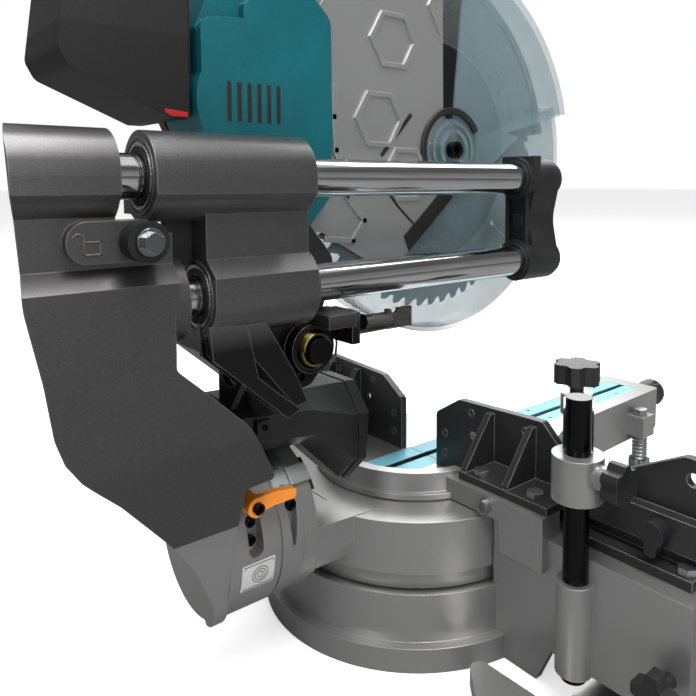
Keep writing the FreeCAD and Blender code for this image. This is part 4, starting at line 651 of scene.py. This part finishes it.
def battery_accent():
    """Red strip on the side of the battery."""
    strip = [(246, 437.2), (257.5, 437.2), (262, 439.4), (262, 442), (246, 440.4)]
    prism("battery_accent", strip, 0, -38.4, -37.8, "battery", "black_plastic", RED, 0.15)


def motor_vents():
    """Dark slits in the side of the motor housing."""
    for k in range(6):
        y = 176 + 8 * k
        slit = [(y, 436), (y + 3.5, 436), (y + 3.5, 464), (y, 464)]
        prism(f"vent_{k}", slit, 0, -44.35, -43.6, "head", "black_plastic", BLACK, 0.3)


for build in (chop_spring, bevel_scale, mitre_scale, carriage_rims, padlock, hub_screws, hub_label, duct_trim,
              fence_trim, case_trim, cap_trim, stop_pin, battery_accent, motor_vents):
    build()

# ---------------------------------------------------------------- camera, light and floor

camera = bpy.data.objects.new("camera", bpy.data.cameras.new("camera"))
bpy.context.scene.collection.objects.link(camera)
bpy.context.scene.camera = camera
camera.location = (-0.4956, 0.450, 0.392)
camera.rotation_mode = "QUATERNION"
camera.rotation_quaternion = Vector((0.7525, -0.6537, -0.0792)).to_track_quat("-Z", "Y")
camera.data.lens = 35.6
camera.data.sensor_width = 36.0
camera.data.shift_x = -0.0747
camera.data.shift_y = -0.1585
camera.data.clip_start = 0.01

FLOOR_HALF, FLOOR_Z = 40, -0.0005      # metres
corners = [(x * FLOOR_HALF, y * FLOOR_HALF, FLOOR_Z) for x, y in ((-1, -1), (1, -1), (1, 1), (-1, 1))]
floor_mesh = bpy.data.meshes.new("floor")
floor_mesh.from_pydata(corners, [], [(0, 1, 2, 3)])
floor = bpy.data.objects.new("floor", floor_mesh)
bpy.context.scene.collection.objects.link(floor)
# the floor glows a little to the camera and is darker in reflections
pale = Shader("pale_floor", Roughness=0.75, Emission_Color=(1, 1, 1, 1))
rays = pale.node("ShaderNodeLightPath").outputs
tone = pale.mix(pale.noise(3, 3), (0.84, 0.84, 0.84), (0.88, 0.88, 0.88))
pale.set("Base Color", pale.mix(rays["Is Glossy Ray"], tone, (0.17, 0.17, 0.17)))
pale.set("Emission Strength", pale.math("MULTIPLY", rays["Is Camera Ray"], 0.52))
floor_mesh.materials.append(pale.mat)


def softbox(name, place, target, size, power):
    """A rectangular studio light at place, turned towards target."""
    data = bpy.data.lights.new(name, "AREA")
    data.shape = "RECTANGLE"
    data.size, data.size_y = size
    data.energy = power
    light = bpy.data.objects.new(name, data)
    bpy.context.scene.collection.objects.link(light)
    light.location = place
    light.rotation_mode = "QUATERNION"
    light.rotation_quaternion = (Vector(target) - Vector(place)).to_track_quat("-Z", "Y")


softbox("top_box", (-0.6, 0.2, 1.9), (-0.1, 0.1, 0.3), (0.5, 1.6), 38)
softbox("left_strip", (-1.8, 0.3, 0.9), (0, 0.1, 0.25), (0.35, 1.2), 7)
softbox("rear_box", (-0.6, 2.0, 1.3), (0, 0.1, 0.25), (0.8, 0.8), 10)
softbox("far_rim", (1.2, -1.6, 1.3), (0, 0, 0.3), (1.0, 1.0), 14)
softbox("floor_wash", (1.4, -2.4, 2.6), (1.3, -2.2, 0.0), (3.2, 3.2), 110)

# the world is white to the camera and a dim studio with a bright ceiling to everything else
world = bpy.data.worlds.new("studio")
bpy.context.scene.world = world
world.use_nodes = True
tree = world.node_tree
background = tree.nodes["Background"]
height = tree.nodes.new("ShaderNodeSeparateXYZ")
tree.links.new(tree.nodes.new("ShaderNodeTexCoord").outputs["Generated"], height.inputs[0])
ramp = tree.nodes.new("ShaderNodeValToRGB")
tree.links.new(height.outputs["Z"], ramp.inputs["Fac"])
stops = ((0.0, 0.30), (0.40, 0.18), (0.50, 0.10), (0.70, 0.12), (0.80, 0.75), (1.0, 0.75))
while len(ramp.color_ramp.elements) < len(stops):
    ramp.color_ramp.elements.new(0.5)
for element, (place, grey) in zip(ramp.color_ramp.elements, stops):
    element.position = place
    element.color = (grey, grey, grey, 1)
seen = tree.nodes.new("ShaderNodeMix")
seen.data_type = "RGBA"
tree.links.new(tree.nodes.new("ShaderNodeLightPath").outputs["Is Camera Ray"], seen.inputs[0])
tree.links.new(ramp.outputs["Color"], seen.inputs[6])
seen.inputs[7].default_value = (1, 1, 1, 1)
tree.links.new(seen.outputs[2], background.inputs["Color"])
background.inputs["Strength"].default_value = 1.0
bpy.context.scene.view_settings.view_transform = "Standard"
